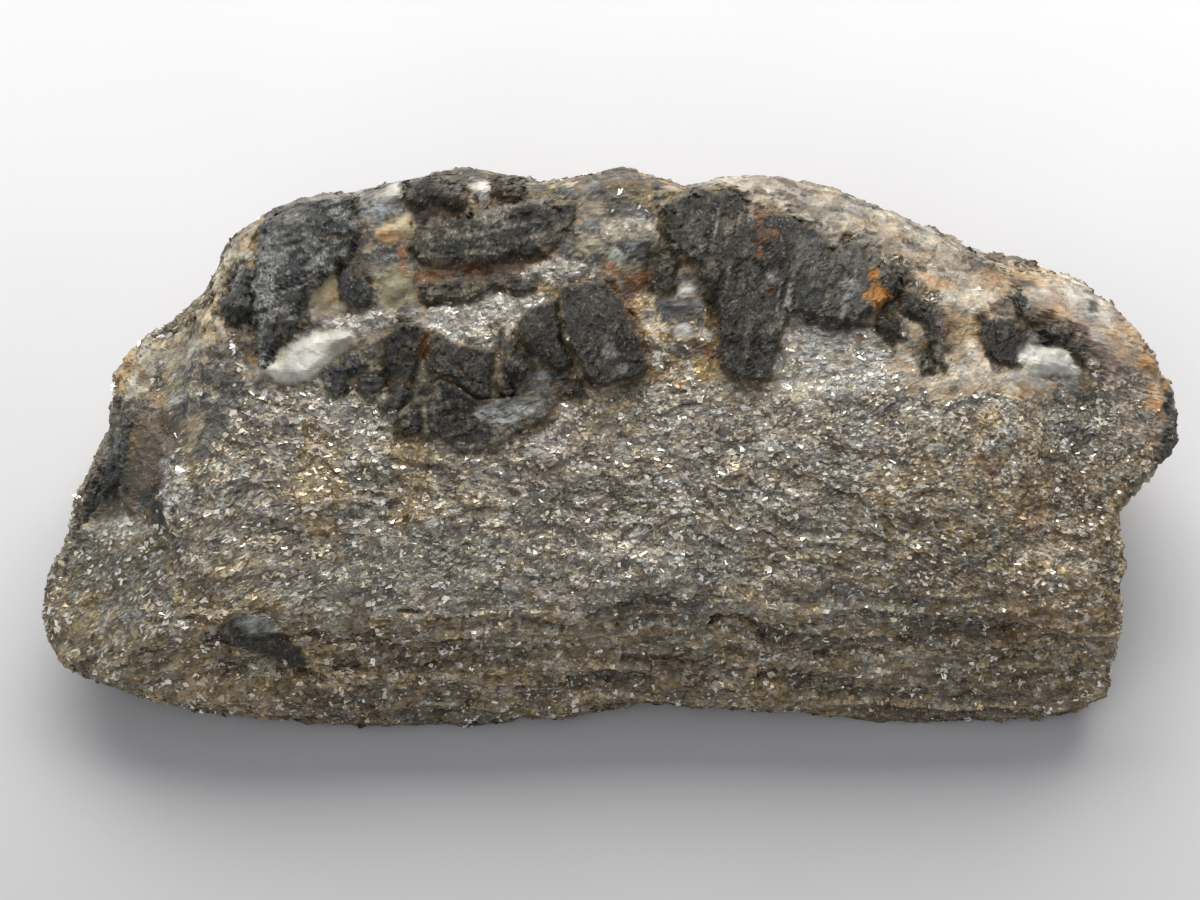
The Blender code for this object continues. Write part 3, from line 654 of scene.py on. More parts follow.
def outline_distance(outline: Outline, u: Array, v: Array) -> Array:
    """How far places in the face plane are from an outline.

    Args:
        outline: Its corners.
        u: Place along the stone.
        v: Place up the face.

    Returns:
        The distance in millimetres, negative inside the outline.
    """
    points = np.array(outline)
    nearest = np.full(u.shape, 1e9)
    inside = np.zeros(u.shape, bool)
    for (au, av), (bu, bv) in zip(points, np.roll(points, -1, axis=0)):
        eu, ev = bu - au, bv - av
        along = np.clip(((u - au) * eu + (v - av) * ev) / (eu * eu + ev * ev), 0, 1)
        nearest = np.minimum(nearest, np.hypot(u - au - along * eu, v - av - along * ev))
        if av != bv:
            inside ^= ((av > v) != (bv > v)) & (u < au + (v - av) * eu / ev)
    return np.where(inside, -nearest, nearest)


def near_outline(outline: Outline, u: Array, v: Array, seen: Array, margin: float) -> Array:
    """Which of the seen places lie in the rectangle around an outline, made larger by a margin."""
    low, high = np.min(outline, axis=0) - margin, np.max(outline, axis=0) + margin
    return np.flatnonzero((u > low[0]) & (u < high[0]) & (v > low[1]) & (v < high[1]) & seen)


# ---------------- the form of the stone


@dataclass(frozen=True)
class StoneForm:
    """The large shape of the stone: its faces, its rim and its ledges."""

    rim: Outline = RIM
    faces: tuple[tuple[Triple, Triple], ...] = tuple(FACES.values())
    longest: float = 90.0  # no ray goes farther
    halvings: int = 20
    lumpiness: float = 0.6
    ledge: float = 2.1  # how far layers stand in or out where they are cut across
    ledge_start: float = 0.72  # how much of a layer's height is flat before the next one
    rim_fade: float = 3.0  # the relief dies away this near the rim
    rim_relief: float = 0.35  # what is left of it there
    under_depth: float = 8.0  # the underside begins over this height
    under_inset: float = 0.5

    @cached_property
    def planes(self) -> list[tuple[Array, Array]]:
        """A point on each face and its way out, one unit long."""
        return [(np.array(point, float), np.array(way) / np.linalg.norm(way)) for point, way in self.faces]

    def field(self, points: Array) -> Array:
        """Above zero outside the stone: a soft maximum of its faces and its rim."""
        u, v, w = points @ AXIS_U, points @ AXIS_V, points @ AXIS_W
        parts = [outline_distance(self.rim, u, v) - RIM_OUT + DRAFT * np.clip(RIM_W - w, 0, None)]
        parts += [(points - point) @ way for point, way in self.planes]
        stacked = np.array(parts) / EDGE_ROUND
        top = stacked.max(axis=0)
        return EDGE_ROUND * (top + np.log(np.exp(stacked - top).sum(axis=0)))

    def reach(self, start: Array, ways: Array) -> Array:
        """How far from start each ray meets the stone."""
        low, high = np.zeros(len(ways)), np.full(len(ways), self.longest)
        for _ in range(self.halvings):
            middle = (low + high) / 2
            outside = self.field(start + ways * middle[:, None]) > 0
            high = np.where(outside, middle, high)
            low = np.where(outside, low, middle)
        return low

    def layer_step(self, point: Vector) -> float:
        """Ledges of the schist: each layer stands in or out by its own amount."""
        wave = 1.1 * noise.noise(point / 17) + 0.5 * noise.noise(point / 6)
        height = (point @ Vector(LAYER_NORMAL) + wave) / LAYER
        below = math.floor(height)
        blend = min(1.0, max(0.0, (height - below - self.ledge_start) / (1 - self.ledge_start)))
        lower, upper = (
            noise.noise(Vector((layer * 7.31, point.x / 21, point.y / 21))) for layer in (below, below + 1)
        )
        return lower * (1 - blend) + upper * blend

    def relief(self, point: Vector, normal: Vector, rim: float) -> float:
        """How far a point of the stone moves along its normal. The rim keeps to its own outline.

        Args:
            point: A place on the large shape.
            normal: The way out there.
            rim: How far it is from the rim, negative inside.

        Returns:
            The move in millimetres.
        """
        steep = 1 - abs(normal @ Vector(LAYER_NORMAL)) ** 3
        lumps = 1.4 * noise.noise(point / 13) + 0.8 * noise.noise(point / 5.5 + Vector((9, 3, 1)))
        lumps += 0.4 * noise.noise(point / 2.9)
        free = self.rim_relief + (1 - self.rim_relief) * min(1.0, max(0.0, -rim / self.rim_fade))
        below = min(1.0, max(0.0, (RIM_W - 4 - point @ Vector(AXIS_W)) / self.under_depth))
        relief = self.lumpiness * lumps + self.ledge * steep * self.layer_step(point)
        return max(free, below) * relief - self.under_inset * below


# ---------------- lattices and meshes


def box_lattice(size: Array, cell: float) -> tuple[Array, Array]:
    """The skin of a box, evenly divided.

    Args:
        size: Length, depth and height of the box.
        cell: How far apart its points are.

    Returns:
        Its points, and its four-sided faces turned outward.
    """
    counts = np.maximum(1, np.round(size / cell).astype(int))
    faces = []
    for axis in range(3):
        a, b = (axis + 1) % 3, (axis + 2) % 3
        i, j = np.meshgrid(np.arange(counts[a]), np.arange(counts[b]), indexing="ij")
        for side in (0, counts[axis]):
            corners = np.zeros((i.size, 4, 3), int)
            steps = ((0, 0), (1, 0), (1, 1), (0, 1)) if side else ((0, 0), (0, 1), (1, 1), (1, 0))
            for n, (da, db) in enumerate(steps):
                corners[:, n, axis] = side
                corners[:, n, a] = i.ravel() + da
                corners[:, n, b] = j.ravel() + db
            faces.append(corners)
    joined = np.concatenate(faces).reshape(-1, 3)
    keys, index = np.unique(joined, axis=0, return_inverse=True)
    points = (keys / counts - 0.5) * size
    return points, index.reshape(-1, 4)


def normals_of(points: Array, quads: Array) -> Array:
    """The average way out at each point."""
    across = np.cross(points[quads[:, 2]] - points[quads[:, 0]], points[quads[:, 3]] - points[quads[:, 1]])
    total = np.zeros_like(points)
    for corner in range(4):
        np.add.at(total, quads[:, corner], across)
    return total / np.maximum(np.linalg.norm(total, axis=1), 1e-12)[:, None]


def smoothed(values: Array, quads: Array, turns: int) -> Array:
    """Values on points, each averaged with its neighbours this many times."""
    for _ in range(turns):
        total = np.zeros_like(values)
        count = np.zeros(len(values))
        for a, b in ((0, 1), (1, 2), (2, 3), (3, 0)):
            np.add.at(total, quads[:, a], values[quads[:, b]])
            np.add.at(total, quads[:, b], values[quads[:, a]])
            np.add.at(count, quads[:, a], 1)
            np.add.at(count, quads[:, b], 1)
        shape = (-1,) + (1,) * (values.ndim - 1)
        values = 0.5 * values + 0.5 * total / count.reshape(shape)
    return values


# ---------------- what grew in the stone


@dataclass(frozen=True)
class Grown:
    """What the crystals and grains do at each point: the rise, how much of each there is, and its colour."""

    lift: Array
    black: Array
    clear: Array
    halo: Array
    colour: Array

    @classmethod
    def nothing(cls, count: int) -> "Grown":
        """Bare rock at each of so many points."""
        return cls(*(np.zeros(count) for _ in range(4)), np.zeros((count, 3)))


@dataclass(frozen=True)
class Near:
    """Points near an outline: which they are, where, how far from it (negative inside), and how they face.

    The number is the outline's place in its list, which gives its grain chips and grooves of its own.
    """

    number: int
    pick: Array
    points: Array
    gap: Array
    facing: Array


@dataclass(frozen=True)
class Growth:
    """Tourmaline crystals and pale grains that stand a little out of the broad face."""

    crystals: tuple[Crystal, ...]
    lumps: tuple[Lump, ...]
    olive_black: Colour = (0.019, 0.018, 0.0145)
    blue_black: Colour = (0.028, 0.030, 0.031)
    dust: Colour = (0.135, 0.122, 0.092)
    brown_dust: Colour = (0.115, 0.080, 0.048)
    blue_dust: Colour = (0.185, 0.188, 0.175)
    seam: Colour = (0.17, 0.12, 0.065)
    line: Colour = (0.30, 0.29, 0.26)
    # the colour of the painted glints on the crystals
    glint_speck: Colour = (0.40, 0.38, 0.33)
    edge_stain: Colour = (0.27, 0.17, 0.07)
    margin: float = 1.6  # how far past an outline its grain can matter
    least_facing: float = 0.01
    dustiest: float = 0.95
    brightest_coat: float = 1.35
    lump_height: float = 0.55
    crystal_height: float = 0.62
    apart: float = 13.7  # how far each crystal's pattern is moved from the last one's
    frays: tuple[tuple[Noise, Noise], ...] = (
        (Noise(1.5, 601, 3), Noise(0.4, 606)),
        (Noise(1.5, 611, 3), Noise(0.4, 616)),
    )
    lump_chips: Chips = Chips(1.7, 641, 0.5, 0.35)
    lump_cloud: Noise = Noise(1.6, 651, 3)
    lump_edge: Noise = Noise(1.2, 661, 2)
    notches: Cell = Cell(0.9, 631)
    blocks: Cell = Cell((3.2, 2.0, 6.0), 221)
    specks: Cell = Cell(0.62, 261)
    grooves: Noise = Noise((4.0, 0.42, 3.0), 201, 2)
    breaks: Chips = Chips((2.6, 1.5, 3.0), 211, 0.45, 0.45)
    chips: Chips = Chips((0.95, 0.6, 0.7), 281, 0.55, 0.5)
    grit: Noise = Noise(0.55, 285, 2)
    rough: Noise = Noise(0.7, 271, 2)
    gentle: Noise = Noise(3.5, 275)
    mottle: Noise = Noise(2.2, 241, 4, 0.8)
    brown: Noise = Noise(2.7, 245, 3)
    lines: Noise = Noise((6.0, 0.42, 5.0), 251)
    line_gaps: Noise = Noise(5.0, 255)

    def at(self, points: Array, normals: Array) -> Grown:
        """The growth at each point.

        Args:
            points: Places on the stone.
            normals: The way out at each.

        Returns:
            What grew there.
        """
        u, v = points @ AXIS_U, points @ AXIS_V
        facing = ramp(normals @ AXIS_W, -0.05, 0.25)
        fray = [0.34 * wide.at(points) + 0.10 * fine.at(points) for wide, fine in self.frays]
        grown, seen = Grown.nothing(len(points)), facing > self.least_facing
        for number, lump in enumerate(self.lumps):
            pick = near_outline(lump.outline, u, v, seen, self.margin)
            if len(pick):
                gap = outline_distance(lump.outline, u[pick] + fray[0][pick], v[pick] + fray[1][pick])
                self.add_lump(grown, lump, Near(number, pick, points[pick], gap, facing[pick]))
        for number, crystal in enumerate(self.crystals):
            pick = near_outline(crystal.outline, u, v, seen, self.margin)
            if len(pick):
                loose = 0.45 if crystal.look is Look.CRISP else 1.35
                frayed = u[pick] + loose * fray[0][pick], v[pick] + loose * fray[1][pick]
                notch = self.notches.pick(self.notches.at(points[pick])[2], 4)
                gap = outline_distance(crystal.outline, *frayed) + 0.2 * loose * (2 * notch - 1)
                self.add_crystal(grown, crystal, Near(number, pick, points[pick], gap, facing[pick]))
        return grown

    def add_lump(self, grown: Grown, lump: Lump, near: Near) -> None:
        """Adds a low rounded grain with a stained edge.

        Args:
            grown: What there is so far, changed here.
            lump: The grain.
            near: The points near it.
        """
        points, gap, pick = near.points, near.gap, near.pick
        inside = ramp(-gap, -0.3, 0.35) * near.facing
        chips = self.lump_chips.at(points, near.number)
        rise = self.lump_height * lump.proud * ramp(-gap, -0.1, 1.3) + 0.16 * chips * inside
        cloud = np.clip(1 + 0.28 * self.lump_cloud.at(points), 0.5, 1.5)[:, None]
        edge = (0.4 * ramp(gap, -0.7, 0.1) * ramp(self.lump_edge.at(points), -0.3, 0.6))[:, None]
        rows = mixed(np.array(lump.colour) * cloud, self.edge_stain, edge)
        grown.lift[pick] = np.maximum(grown.lift[pick], rise * near.facing)
        grown.clear[pick] = np.maximum(grown.clear[pick], inside)
        grown.colour[pick] = np.where(inside[:, None] > 0.02, rows, grown.colour[pick])

    def add_crystal(self, grown: Grown, crystal: Crystal, near: Near) -> None:
        """Adds a grooved and broken black crystal with steep sides.

        Args:
            grown: What there is so far, changed here.
            crystal: The crystal.
            near: The points near it.
        """
        points, gap, pick, facing = near.points, near.gap, near.pick, near.facing
        u, v = points @ AXIS_U, points @ AXIS_V
        middle = np.mean(crystal.outline, axis=0)
        along, across = turned(u, v, crystal.grooves)
        own = np.stack([along, across, points @ AXIS_W], axis=1) + near.number * self.apart
        grooves, grit = self.grooves.at(own), self.grit.at(points)
        first, second, owner, _ = self.blocks.at(own)
        crack = (1 - ramp(second - first, 0.02, 0.11)) * (self.blocks.pick(owner, 4) > 0.72)
        inside = ramp(-gap + 0.18 * self.rough.at(points), -0.1, 0.2) * facing
        gentle = ramp(self.gentle.at(points), -0.3, 0.5) * (crystal.look is not Look.CRISP)
        top = crystal.proud + crystal.lean[0] * (u - middle[0]) + crystal.lean[1] * (v - middle[1])
        side = ramp((-gap + 0.1) / (0.45 + 0.9 * gentle), 0.0, 1.0)
        rise = self.crystal_height * top + 0.17 * self.breaks.at(own) + 0.09 * grooves + 0.12 * self.chips.at(own)
        rise = (rise + 0.05 * grit - 0.2 * crack) * side
        colour = self.crystal_colour(crystal, near, own, owner, grooves, grit)
        seam = (0.65 * crack * (self.blocks.pick(owner, 14) > 0.6))[:, None]
        # Rare pale specks on the crystal: painted glints.
        distance, _, glint_speck, _ = self.specks.at(points)
        spot = ((self.specks.pick(glint_speck, 4) > 0.985) & (distance < 0.4))[:, None] * 0.4
        colour = mixed(mixed(colour, self.seam, seam), self.glint_speck, spot)
        inner = inside > np.maximum(grown.black[pick], 0.01)
        rise = rise * facing
        covered = np.maximum(grown.lift[pick], rise * inside)
        grown.lift[pick] = np.where(inner, np.maximum(rise, grown.lift[pick] * (1 - inside)), covered)
        grown.colour[pick] = np.where(inner[:, None], colour, grown.colour[pick])
        grown.clear[pick] = grown.clear[pick] * (1 - inside)
        grown.black[pick] = np.maximum(grown.black[pick], inside)
        halo = (1 - ramp(gap, 0.1, 1.1)) * facing
        grown.halo[pick] = np.maximum(grown.halo[pick], halo)

    def crystal_colour(
        self, crystal: Crystal, near: Near, own: Array, owner: Array, grooves: Array, grit: Array
    ) -> Array:
        """Black, with dust in the hollows of the crystal and pale lines along it.

        Args:
            crystal: The crystal.
            near: The points near it.
            own: Their places along its grooves, across them and out.
            owner: Which broken block of it each is on.
            grooves: The height of its grooves.
            grit: Its finest relief.

        Returns:
            A colour for each point.
        """
        points = near.points
        bluish = (ramp(-(points @ AXIS_U), 22, 30) * ramp(points @ AXIS_V, -8, 0))[:, None]
        colour = mixed(np.array(self.olive_black), self.blue_black, bluish)
        colour = colour * np.clip(1 + 0.3 * (2 * self.blocks.pick(owner, 10) - 1), 0.6, 1.4)[:, None]
        dust = crystal.wear * ramp(self.mottle.at(points) + 0.5 * grooves + 0.5 * grit, -0.4, 1.2)
        dust = np.maximum(np.minimum(dust, self.dustiest), 0.5 * ramp(near.gap, -0.35, 0.05))[:, None]
        brown = ramp(self.brown.at(points), 0.0, 0.8)[:, None] * (1 - bluish)
        coat = mixed(mixed(np.array(self.dust), self.blue_dust, bluish), self.brown_dust, brown)
        coat = coat * min(self.brightest_coat, max(1.0, crystal.wear))
        lines = 0.75 * ramp(self.lines.at(own), 0.38, 0.62) * ramp(self.line_gaps.at(points), -0.3, 0.3)
        lines = (lines * (crystal.look is Look.LINED))[:, None]
        return mixed(mixed(colour, coat, dust), self.line, lines)


# ---------------- colour of each point


@dataclass(frozen=True)
class Places:
    """Places on the stone as the colouring sees them.

    Facing is how much they look the way the broad face does, fray is fine noise for ragged edges, and streak is
    noise drawn out along the layers.
    """

    points: Array
    facing: Array
    fray: Array
    streak: Array

    @cached_property
    def u(self) -> Array:
        """Place along the stone."""
        return self.points @ AXIS_U

    @cached_property
    def v(self) -> Array:
        """Place up the face."""
        return self.points @ AXIS_V


@dataclass(frozen=True)
class Colouring:
    """Chooses the tint of every point of the rock, and its share of mica, coarse grain and rust."""

    tints: dict[str, Tint]
    mixes: dict[str, Mix]
    patches: tuple[Patch, ...]
    stains_and_highlights: tuple[str, ...] = ("rust", "orange", "dusty", "seam", "spot", "white")
    grain_sizes: tuple[tuple[float, float, int], ...] = ((0.62, 1.0, 0), (0.38, 1.7, 9))  # weight, fineness, salt
    far_left_tone: Colour = (0.16, 0.12, 0.10)
    margin: float = 3.0
    flat: float = 0.7  # how far a patch looks past the steps of the face
    grain_frays: tuple[Noise, ...] = (Noise(1.3, 401, 2), Noise(1.3, 411, 2), Noise(1.3, 421, 2))
    fray: Noise = Noise(1.1, 63, 2)
    streaks: Noise = Noise((16, 16, 0.55), 64, 2)
    waver: Noise = Noise(6, 62)
    warp_u: Noise = Noise(3.1, 41, 3)
    warp_v: Noise = Noise(3.1, 51, 3)
    wide: Noise = Noise(14, 61, 3)
    broken: Noise = Noise(0.9, 67, 2)
    gold: Noise = Noise(9, 67, 3)
    sway: Noise = Noise(11, 71, 3)
    lenses: Noise = Noise((19, 40, 2.3), 75)
    dark_lenses: Noise = Noise((12, 30, 2.0), 78)
    rust: Noise = Noise(7, 81, 3)

    def row(self, name: str) -> Array:
        """A tint as numbers."""
        return self.tints[name].row()

    def grains(self, name: str, points: Array) -> Array:
        """Rock made of grains of several tints.

        Args:
            name: Which mix.
            points: Places on the stone.

        Returns:
            A row of numbers for each place.
        """
        mix = self.mixes[name]
        along, across = turned(points @ AXIS_U, points @ AXIS_V, mix.turn)
        placed = np.stack([along, across, points @ LAYER_NORMAL], axis=1) / np.array(mix.size)
        placed = placed + 0.5 * np.stack([fray.at(points) for fray in self.grain_frays], axis=1)
        shares = np.cumsum([share for _, share in mix.parts])
        table = np.array([self.row(tint) for tint, _ in mix.parts])
        total = np.zeros((len(points), table.shape[1]))
        for weight, size, salt in self.grain_sizes:
            _, _, owner, _ = Grain.cells(placed * size, mix.salt + salt)
            pick = Grain.scatter(owner, mix.salt + salt + 5)
            index = np.searchsorted(shares / shares[-1], pick, side="right").clip(0, len(shares) - 1)
            total += weight * table[index]
        return total

    @staticmethod
    def blend(rows: Array, other: Array, weight: Array) -> Array:
        """The rows moved toward others by each point's weight, kept from 0 to 1."""
        return mixed(rows, other, np.clip(weight, 0, 1)[:, None])

    def patched(self, rows: Array, places: Places, over: bool) -> Array:
        """The rows with the patches' own rock in their places.

        Args:
            rows: Rock without the patches, changed here.
            places: Places on the stone.
            over: Whether to lay the stains and painted highlights that lie over all else, or the rest.

        Returns:
            The same rows.
        """
        points, facing, u, v = places.points, places.facing, places.u, places.v
        level = points - self.flat * np.outer(points @ AXIS_W, AXIS_W)
        fray, warp_u, warp_v = self.fray.at(level), 1.1 * self.warp_u.at(level), 1.1 * self.warp_v.at(level)
        for patch in (patch for patch in self.patches if (patch.tint in self.stains_and_highlights) == over):
            reach = 0.5 * patch.blur
            pick = near_outline(patch.outline, u, v, facing > 0, self.margin)
            if not len(pick):
                continue
            gap = outline_distance(patch.outline, u[pick] + reach * warp_u[pick], v[pick] + reach * warp_v[pick])
            weight = patch.amount * ramp(-gap + 0.25 * fray[pick], -reach, reach) * facing[pick]
            if patch.tint in self.mixes:
                part = ramp(weight + 0.2 * fray[pick], 0.3, 0.6)
                rows[pick] = self.blend(rows[pick], self.grains(patch.tint, points[pick]), part)
            else:
                broken = 0.45 + 0.75 * ramp(self.broken.at(points[pick]), -0.7, 0.4)
                rows[pick] = self.blend(rows[pick], self.row(patch.tint), weight * broken)
        return rows

    def open_rock(self, places: Places) -> Array:
        """The rock before its patches, in a row of numbers for each place: glittering, with brown and ochre."""
        points, facing, u, v = places.points, places.facing, places.u, places.v
        fray, streak = places.fray, places.streak
        warp_v, wide, hidden = 1.1 * self.warp_v.at(points), self.wide.at(points), 1 - facing
        rows = self.grains("glitter rock", points)
        low = ramp(-v + 1.5 * wide + 0.8 * warp_v + 1.2 * fray, 13.0, 20.0)
        right = ramp(u + 4 * wide + fray, 17.0, 33.0) * ramp(-v + 3 * wide + fray, -6.0, 4.0)
        left = ramp(-u + 0.5 * v + 2 * wide + fray, 37.0, 44.0)
        brown = np.maximum.reduce((0.9 * low, 0.85 * right, 0.8 * left))
        brown = np.maximum(brown, 0.75 * hidden * ramp(wide + 0.3 * fray, -0.5, 0.4))
        part = ramp(brown + 0.35 * fray + 0.25 * streak, 0.25, 0.75)
        rows = self.blend(rows, self.grains("brown rock", points), part)
        gold = ramp(self.gold.at(points) + 0.4 * streak + 0.3 * fray, 0.15, 0.8)
        rows = self.blend(rows, self.row("ochre"), 0.26 * gold)
        bench = facing * ramp(v + 0.8 * warp_v + 0.5 * fray, 5.0, 7.5) * ramp(u + fray, -41, -37)
        bench = bench * ramp(-u + fray, -31, -26)
        rows = self.blend(rows, self.grains("vein rock", points), ramp(bench, 0.3, 0.7))
        # The back and the ends carry lenses of quartz and stains of their own.
        layers = np.stack([u, v, points @ LAYER_NORMAL + 1.4 * self.sway.at(points)], axis=1)
        lens = ramp(self.lenses.at(layers) + 0.1 * fray, 0.5, 0.6)
        rows = self.blend(rows, self.grains("feldspar rock", points), 0.9 * lens * hidden)
        dark_lens = ramp(self.dark_lenses.at(layers) + 0.1 * fray, 0.62, 0.7)
        rows = self.blend(rows, self.row("dark"), 0.85 * dark_lens * hidden)
        stain = ramp(self.rust.at(points) + 0.3 * fray, 0.45, 1.0)
        return self.blend(rows, self.row("rust"), 0.45 * stain * np.maximum(hidden, 0.4 * right))

    def toned_with_painted_light(self, rows: Array, places: Places) -> Array:
        """The rows, changed here, with their lighter and darker stretches: painted light on the low front, painted
        shade along its bottom, and colour changes of the rock itself.
        """
        points, facing, u, v = places.points, places.facing, places.u, places.v
        # Painted light: the steep low front is made lighter.
        rows[:, RGB] *= (1 + 0.24 * ramp(-v, 15.0, 19.0) * facing)[:, None]
        left_light = ramp(-u, 17, 25) * ramp(u, -46, -40) * facing * ramp(-v, -6, 2)
        rows[:, RGB] *= (1 + 0.13 * left_light * (1 - rows[:, Amount.BLACK]))[:, None]
        far_left = ramp(-u + 0.3 * v, 40, 47)
        rows[:, Amount.MICA] *= 1 - 0.25 * far_left
        rows[:, RGB] *= 1 - np.outer(far_left, self.far_left_tone)
        rows[:, Amount.COARSE] = np.maximum(rows[:, Amount.COARSE], 0.4 * far_left)
        # Painted shade along the bottom of the front, where the stone overhangs the floor.
        under = (1 - ramp(points[:, 2] + 0.8 * places.fray, 1.0, 4.2)) * ramp(-points[:, 1], 10, 20)
        rows[:, RGB] *= (1 - 0.5 * under)[:, None]
        rows[:, RGB] *= np.clip(1 + 0.24 * places.streak * (1 - rows[:, Amount.BLACK]), 0.5, 1.6)[:, None]
        return rows

    def paint(self, points: Array, normals: Array, grown: Grown) -> Array:
        """The look of each point, from its place, the way it faces and what grew there.

        Args:
            points: Places on the stone.
            normals: The way out at each.
            grown: What grew there.

        Returns:
            A row of numbers for each place.
        """
        fray = self.fray.at(points)
        height = foliation(points) + 0.5 * self.waver.at(points)
        streak = self.streaks.at(np.stack([points @ AXIS_U, points @ AXIS_V, height], axis=1))
        places = Places(points, ramp(normals @ AXIS_W, -0.1, 0.15), fray, streak)
        rows = self.patched(self.open_rock(places), places, over=False)
        rows = self.blend(rows, self.row("gold"), 0.4 * grown.halo * ramp(fray, -0.3, 0.6))
        # Painted shade in the hollow around each crystal.
        rows[:, RGB] *= (1 - 0.35 * grown.halo * ramp(HALO_NOISE.at(points), -0.2, 0.6))[:, None]
        clear, black = np.zeros((2, *rows.shape))
        clear[:, RGB] = black[:, RGB] = grown.colour
        clear[:, Amount.COARSE], clear[:, Amount.CLEAR], black[:, Amount.BLACK] = 0.5, 1.0, 1.0
        rows = self.blend(self.blend(rows, clear, grown.clear), black, grown.black)
        return self.toned_with_painted_light(self.patched(rows, places, over=True), places)


# ---------------- finishes


class Step(Enum):
    """One step of arithmetic on a number."""

    PLUS = "ADD"
    MINUS = "SUBTRACT"
    TIMES = "MULTIPLY"
    LARGER = "MAXIMUM"
    ABOVE = "GREATER_THAN"


class Move(Enum):
    """One step of arithmetic on a place, a way or a colour."""

    PLUS = "ADD"
    MINUS = "SUBTRACT"
    SCALED = "SCALE"
    UNIT = "NORMALIZE"


class Signal:
    """A number, a colour or a place on its way through a finish, with arithmetic of its own."""

    def __init__(self, recipe: "Recipe", socket: Socket) -> None:
        """What leaves this socket."""
        self.recipe = recipe
        self.socket = socket

    def __add__(self, other: Any) -> "Signal":
        """The sum."""
        return self.recipe.math(Step.PLUS, self, other)

    def __mul__(self, other: Any) -> "Signal":
        """The product."""
        return self.recipe.math(Step.TIMES, self, other)

    def __rsub__(self, other: float) -> "Signal":
        """A number less this one."""
        return self.recipe.math(Step.MINUS, other, self)

    def above(self, limit: Any) -> "Signal":
        """1 where this is above the limit, and 0 elsewhere."""
        return self.recipe.math(Step.ABOVE, self, limit)

    def span(self, low: float, high: float, to_low: float = 0.0, to_high: float = 1.0) -> "Signal":
        """This number moved from one range to another, and kept inside it."""
        ranges = {"From Min": low, "From Max": high, "To Min": to_low, "To Max": to_high}
        return self.recipe.signal("ShaderNodeMapRange", {"Value": self, **ranges})

    def channel(self, which: int) -> "Signal":
        """Red, green or blue of this colour."""
        return self.recipe.signal("ShaderNodeSeparateColor", {0: self}, which)

    def axis(self, which: int) -> "Signal":
        """X, Y or Z of this place."""
        return self.recipe.signal("ShaderNodeSeparateXYZ", {0: self}, which)

    def grey(self) -> "Signal":
        """This number as a colour."""
        return self.recipe.signal("ShaderNodeCombineColor", {0: self, 1: self, 2: self})

    def toward(self, other: Any, weight: Any) -> "Signal":
        """This colour moved toward another by a weight."""
        return self.recipe.mix("MIX", weight, self, other)

    def times(self, other: Any) -> "Signal":
        """This colour multiplied by another."""
        return self.recipe.mix("MULTIPLY", 1.0, self, other)


class NodeBench:
    """Short calls for making and joining nodes, shared by the finishes and the mica."""

    def __init__(self, tree: bpy.types.NodeTree) -> None:
        """Works on this tree."""
        self.nodes = tree.nodes
        self.links = tree.links

    def set(self, socket: Socket, given: Any) -> None:
        """Sets a socket to a number, a colour or a name, or joins it to what leaves another."""
        given = given.socket if isinstance(given, Signal) else given
        if isinstance(given, bpy.types.NodeSocket):
            self.links.new(given, socket)
        elif isinstance(given, tuple) and len(given) < len(socket.default_value):
            socket.default_value = (*given, 1.0)
        else:
            socket.default_value = given

    def add(self, kind: str, inputs: dict[str | int, Any], **settings: Any) -> bpy.types.Node:
        """Adds a node.

        Args:
            kind: Its type.
            inputs: What goes into its sockets, by name or number.
            settings: Its own choices.

        Returns:
            The node.
        """
        node = self.nodes.new(kind)
        for key, value in settings.items():
            setattr(node, key, value)
        for key, given in inputs.items():
            self.set(node.inputs[key], given)
        return node


@dataclass(frozen=True)
class Cells:
    """Cells of a pattern: each one's random colour, and the distance from its middle."""

    colour: Signal
    distance: Signal


